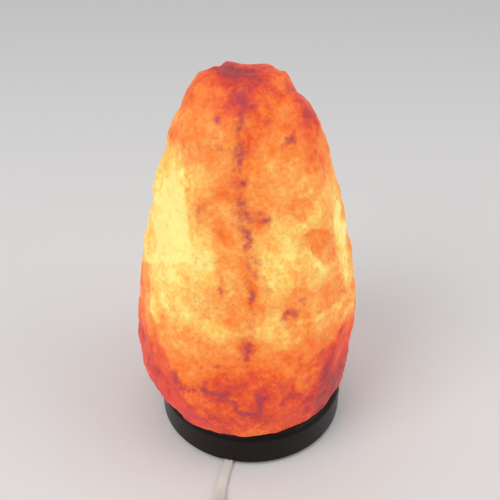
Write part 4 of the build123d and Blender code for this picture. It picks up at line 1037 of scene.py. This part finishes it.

# %% Painted glow in the surface colour, and light given out
# The base colour is the glow colour times a share: painted glow, with the real stains and pits in it.
for share, socket in ((PAINTED_GLOW_SHARE, "Base Color"), (GIVEN_SHARE, "Emission Color")):
    part = put(tree, "ShaderNodeMix", {"Factor": 1.0, "B": (share, share, share, 1)},
               data_type="RGBA", blend_type="MULTIPLY")
    wire(tree, (*pocked, part, "A"), (part, "Result", shader, socket))
skin_bumps = put_group(tree, place, fine_bumps, {"Bumps a metre": 900.0, "Depth": 0.00035})
wire(tree, (skin_bumps, "Normal", shader, "Normal"))
rough_range(tree, shader, skin_bumps, 0.38, 0.62)
fine_mesh.materials.clear()
fine_mesh.materials.append(rock_finish)
print("rock finish:", rock_finish.name)

# %% Seat the rock
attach(rock, "stone")
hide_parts("salt_crystal")
print("rock seated on the stone")

# %% [markdown]
# ## The wooden base
# The base is turned from one piece of hardwood, stained nearly black and sealed with a thin satin coat.
# Its grain shows only as a slightly lighter streak and as fine lines in the gloss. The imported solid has
# the right shape with its rounded edges, so it stays and only its material changes.


# %% One material for a list of pieces
def dress(names, material):
    """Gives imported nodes, or our own pieces, one material."""
    for name in names:
        piece = node[name] if isinstance(name, str) else name
        piece.data.materials.clear()
        piece.data.materials.append(material)


# %% Dark stained wood
wood, tree, shader, place = placed_material(
    "dark_stained_wood", Specular_IOR_Level=0.14, Coat_Weight=0.03, Coat_Roughness=0.22)
grain = put_group(
    tree, place, long_grain, {"Stretch": (1.0, 14.0, 9.0), "Lines a metre": 26.0, "Depth": 0.00012})
wire(tree, (grain, "Normal", shader, "Normal"))
two_tone(tree, shader, grain, (0.0012, 0.0009, 0.0009), (0.012, 0.0065, 0.005))
rough_range(tree, shader, grain, 0.26, 0.42)
dress(["wooden_base"], wood)
print("base dressed in", wood.name)

# %% [markdown]
# ## Plastics and rubber
# Moulded pieces are never one flat colour: their skin has a fine spark-eroded texture, the gloss
# changes where hands rub it, and pale plastic yellows a little in patches. One function makes all of
# them from two near colours, the size of the texture and the range of roughness.


# %% A moulded finish
def moulded(name, first, second, rough, bumps=1800.0, depth=0.00004):
    """A moulded plastic or rubber with cloudy colour and a fine texture."""
    material, tree, shader, place = placed_material(name)
    cloudy = put_group(tree, place, clouds, {"Patches a metre": 60.0, "Detail": 5.0})
    skin = put_group(tree, place, fine_bumps, {"Bumps a metre": bumps, "Depth": depth})
    wire(tree, (skin, "Normal", shader, "Normal"))
    two_tone(tree, shader, cloudy, first, second)
    rough_range(tree, shader, skin, *rough)
    return material


# %% Dress the moulded pieces
MOULDED = [
    # pieces, name, two colours, roughness from and to, and for some bumps a metre and their depth
    ((lamp_lead, spare_lead, inside_lead), "white_lead_jacket",
     (0.80, 0.78, 0.73), (0.72, 0.69, 0.62), (0.32, 0.46), 900.0, 0.00003),
    (["dimmer_lower_shell", "dimmer_upper_shell"], "white_dimmer_case",
     (0.80, 0.79, 0.76), (0.74, 0.72, 0.67), (0.38, 0.55), 2600.0),
    (["dimmer_boots", "plug_body", "cord_grommet"], "white_plug_body",
     (0.79, 0.77, 0.73), (0.72, 0.70, 0.64), (0.36, 0.5), 2200.0),
    (["dimmer_knob"], "black_knob",
     (0.020, 0.020, 0.021), (0.034, 0.033, 0.032), (0.35, 0.55), 2400.0),
    (["socket_base", "socket_sleeve"], "black_phenolic",
     (0.016, 0.012, 0.011), (0.030, 0.021, 0.018), (0.18, 0.32), 700.0, 0.00002),
    (["rubber_feet"], "black_rubber",
     (0.018, 0.018, 0.018), (0.032, 0.031, 0.030), (0.65, 0.85), 1500.0),
    (["screw_anchors"], "grey_anchor",
     (0.50, 0.50, 0.48), (0.42, 0.42, 0.40), (0.45, 0.6)),
    (["cord_cores", "dimmer_wires"], "core_insulation",
     (0.76, 0.74, 0.68), (0.70, 0.66, 0.56), (0.35, 0.5), 1200.0),
    (["bulb_insulator"], "bulb_seal",
     (0.030, 0.022, 0.042), (0.050, 0.040, 0.060), (0.08, 0.16), 900.0, 0.00001),
    (["dimmer_board"], "board_green",
     (0.020, 0.110, 0.045), (0.030, 0.150, 0.065), (0.30, 0.42), 800.0, 0.00002),
    (["dimmer_terminals"], "terminal_green",
     (0.030, 0.210, 0.110), (0.040, 0.250, 0.140), (0.35, 0.5)),
    (["dimmer_triac", "dimmer_pot"], "component_black",
     (0.022, 0.022, 0.024), (0.034, 0.034, 0.036), (0.45, 0.6), 3000.0),
    (["dimmer_capacitor"], "capacitor_yellow",
     (0.72, 0.46, 0.07), (0.64, 0.38, 0.05), (0.25, 0.4), 1200.0),
]
for pieces, *look in MOULDED:
    dress(pieces, moulded(*look))
print("moulded finishes:", len(MOULDED))

# %% [markdown]
# ## Metals
# Zinc-plated sheet is dull and blotchy, spring steel is darker and drawn in one direction, and brass
# has warm tarnished patches. All are full metals. Only colour, roughness and the fine lines change over
# the surface.


# %% A metal finish
def metal(name, first, second, rough, stretch=(1.0, 1.0, 1.0), lines=260.0):
    """A metal with patches of two colours and fine lines along one direction."""
    material, tree, shader, place = placed_material(name, Metallic=1.0)
    blotches = put_group(
        tree, place, clouds, {"Patches a metre": 140.0, "Detail": 5.0, "Low": 0.35, "High": 0.7})
    drawn = put_group(
        tree, place, long_grain, {"Stretch": stretch, "Lines a metre": lines, "Depth": 0.00002})
    wire(tree, (drawn, "Normal", shader, "Normal"))
    two_tone(tree, shader, blotches, first, second)
    rough_range(tree, shader, drawn, *rough)
    return material


# %% Dress the metal pieces
METALS = [
    # pieces, name, two colours, roughness from and to, and for some how the lines are stretched
    # and how many there are in a metre
    (["mounting_plate", "base_screws", "socket_screws", "dimmer_screws", "clip_rivets"], "zinc_plate",
     (0.62, 0.63, 0.62), (0.50, 0.51, 0.50), (0.28, 0.48), (1.0, 10.0, 1.0), 120.0),
    (["spring_clip_left", "spring_clip_right"], "spring_steel",
     (0.42, 0.42, 0.43), (0.33, 0.33, 0.35), (0.22, 0.40), (12.0, 12.0, 1.0), 90.0),
    (["centre_contact", "contact_rivets", "plug_blade_line", "plug_blade_neutral"], "brass",
     (0.80, 0.60, 0.27), (0.66, 0.46, 0.19), (0.20, 0.38), (10.0, 1.0, 1.0), 110.0),
    (["socket_shell", "bulb_screw_cap"], "plated_shell",
     (0.74, 0.70, 0.58), (0.62, 0.57, 0.44), (0.20, 0.36), (1.0, 1.0, 12.0), 120.0),
    (["bulb_contact", "bulb_wires"], "tin_solder",
     (0.66, 0.66, 0.65), (0.52, 0.52, 0.52), (0.25, 0.5)),
    (["dimmer_shaft"], "shaft_metal",
     (0.60, 0.60, 0.61), (0.50, 0.50, 0.52), (0.25, 0.42), (1.0, 1.0, 14.0), 150.0),
]
for pieces, *look in METALS:
    dress(pieces, metal(*look))
print("metal finishes:", len(METALS))

# %% [markdown]
# ## Bulb
# The bulb is clear glass, very slightly uneven in thickness, over a filament at white heat. Glass keeps
# a plain transmission of one. The filament gives out warm light, and fine noise along it stands for the
# winding of its wire.

# %% Glass
glass, tree, shader, place = placed_material("bulb_clear_glass", Transmission_Weight=1.0, IOR=1.5)
ripple = put_group(tree, place, fine_bumps, {"Bumps a metre": 160.0, "Depth": 0.00006})
faint = put_group(tree, place, clouds, {"Patches a metre": 90.0, "Detail": 3.0, "Low": 0.3, "High": 0.8})
wire(tree, (ripple, "Normal", shader, "Normal"))
two_tone(tree, shader, faint, (1.0, 0.97, 0.90), (0.97, 0.92, 0.82))
rough_range(tree, shader, faint, 0.02, 0.07)
dress(["bulb_glass", "bulb_stem"], glass)

# %% Filament
hot, tree, shader, place = placed_material("hot_filament", Emission_Strength=12.0)
winding = put_group(tree, place, clouds, {"Patches a metre": 2600.0, "Detail": 2.0})
heat = put(
    tree, "ShaderNodeMix", {"A": (1.0, 0.55, 0.18, 1), "B": (1.0, 0.82, 0.50, 1)}, data_type="RGBA")
wire(tree, (winding, "Mask", heat, "Factor"), (heat, "Result", shader, "Emission Color"))
two_tone(tree, shader, winding, (0.30, 0.28, 0.26), (0.5, 0.45, 0.4))
dress(["bulb_filament"], hot)
print("bulb dressed")

# %% [markdown]
# ## Woven strap
# The strap is a plain black weave of fine yarn with a soft nap. Two sets of waves, one along and one
# across, give the weave its small squares.

# %% Weave
YARNS = 330.0                    # the waves' scale
weave, tree, shader, place = placed_material("woven_strap", Roughness=0.85, Sheen_Weight=0.3)
warp, weft = (
    put(tree, "ShaderNodeTexWave", {"Scale": YARNS, "Distortion": 0.6}, bands_direction=direction)
    for direction in "XY"
)
crossing = put(tree, "ShaderNodeMath", operation="MULTIPLY")
bump = put(tree, "ShaderNodeBump", {"Strength": 0.8, "Distance": 0.0002})
wire(
    tree,
    (place, "Object", warp, "Vector"), (place, "Object", weft, "Vector"),
    (warp, "Fac", crossing, 0), (weft, "Fac", crossing, 1),
    (crossing, "Value", bump, "Height"), (bump, "Normal", shader, "Normal"),
)
two_tone(tree, shader, crossing, (0.010, 0.010, 0.011), (0.045, 0.044, 0.046), out="Value")
dress([coil_strap, strap_end], weave)
print("strap dressed in", weave.name)
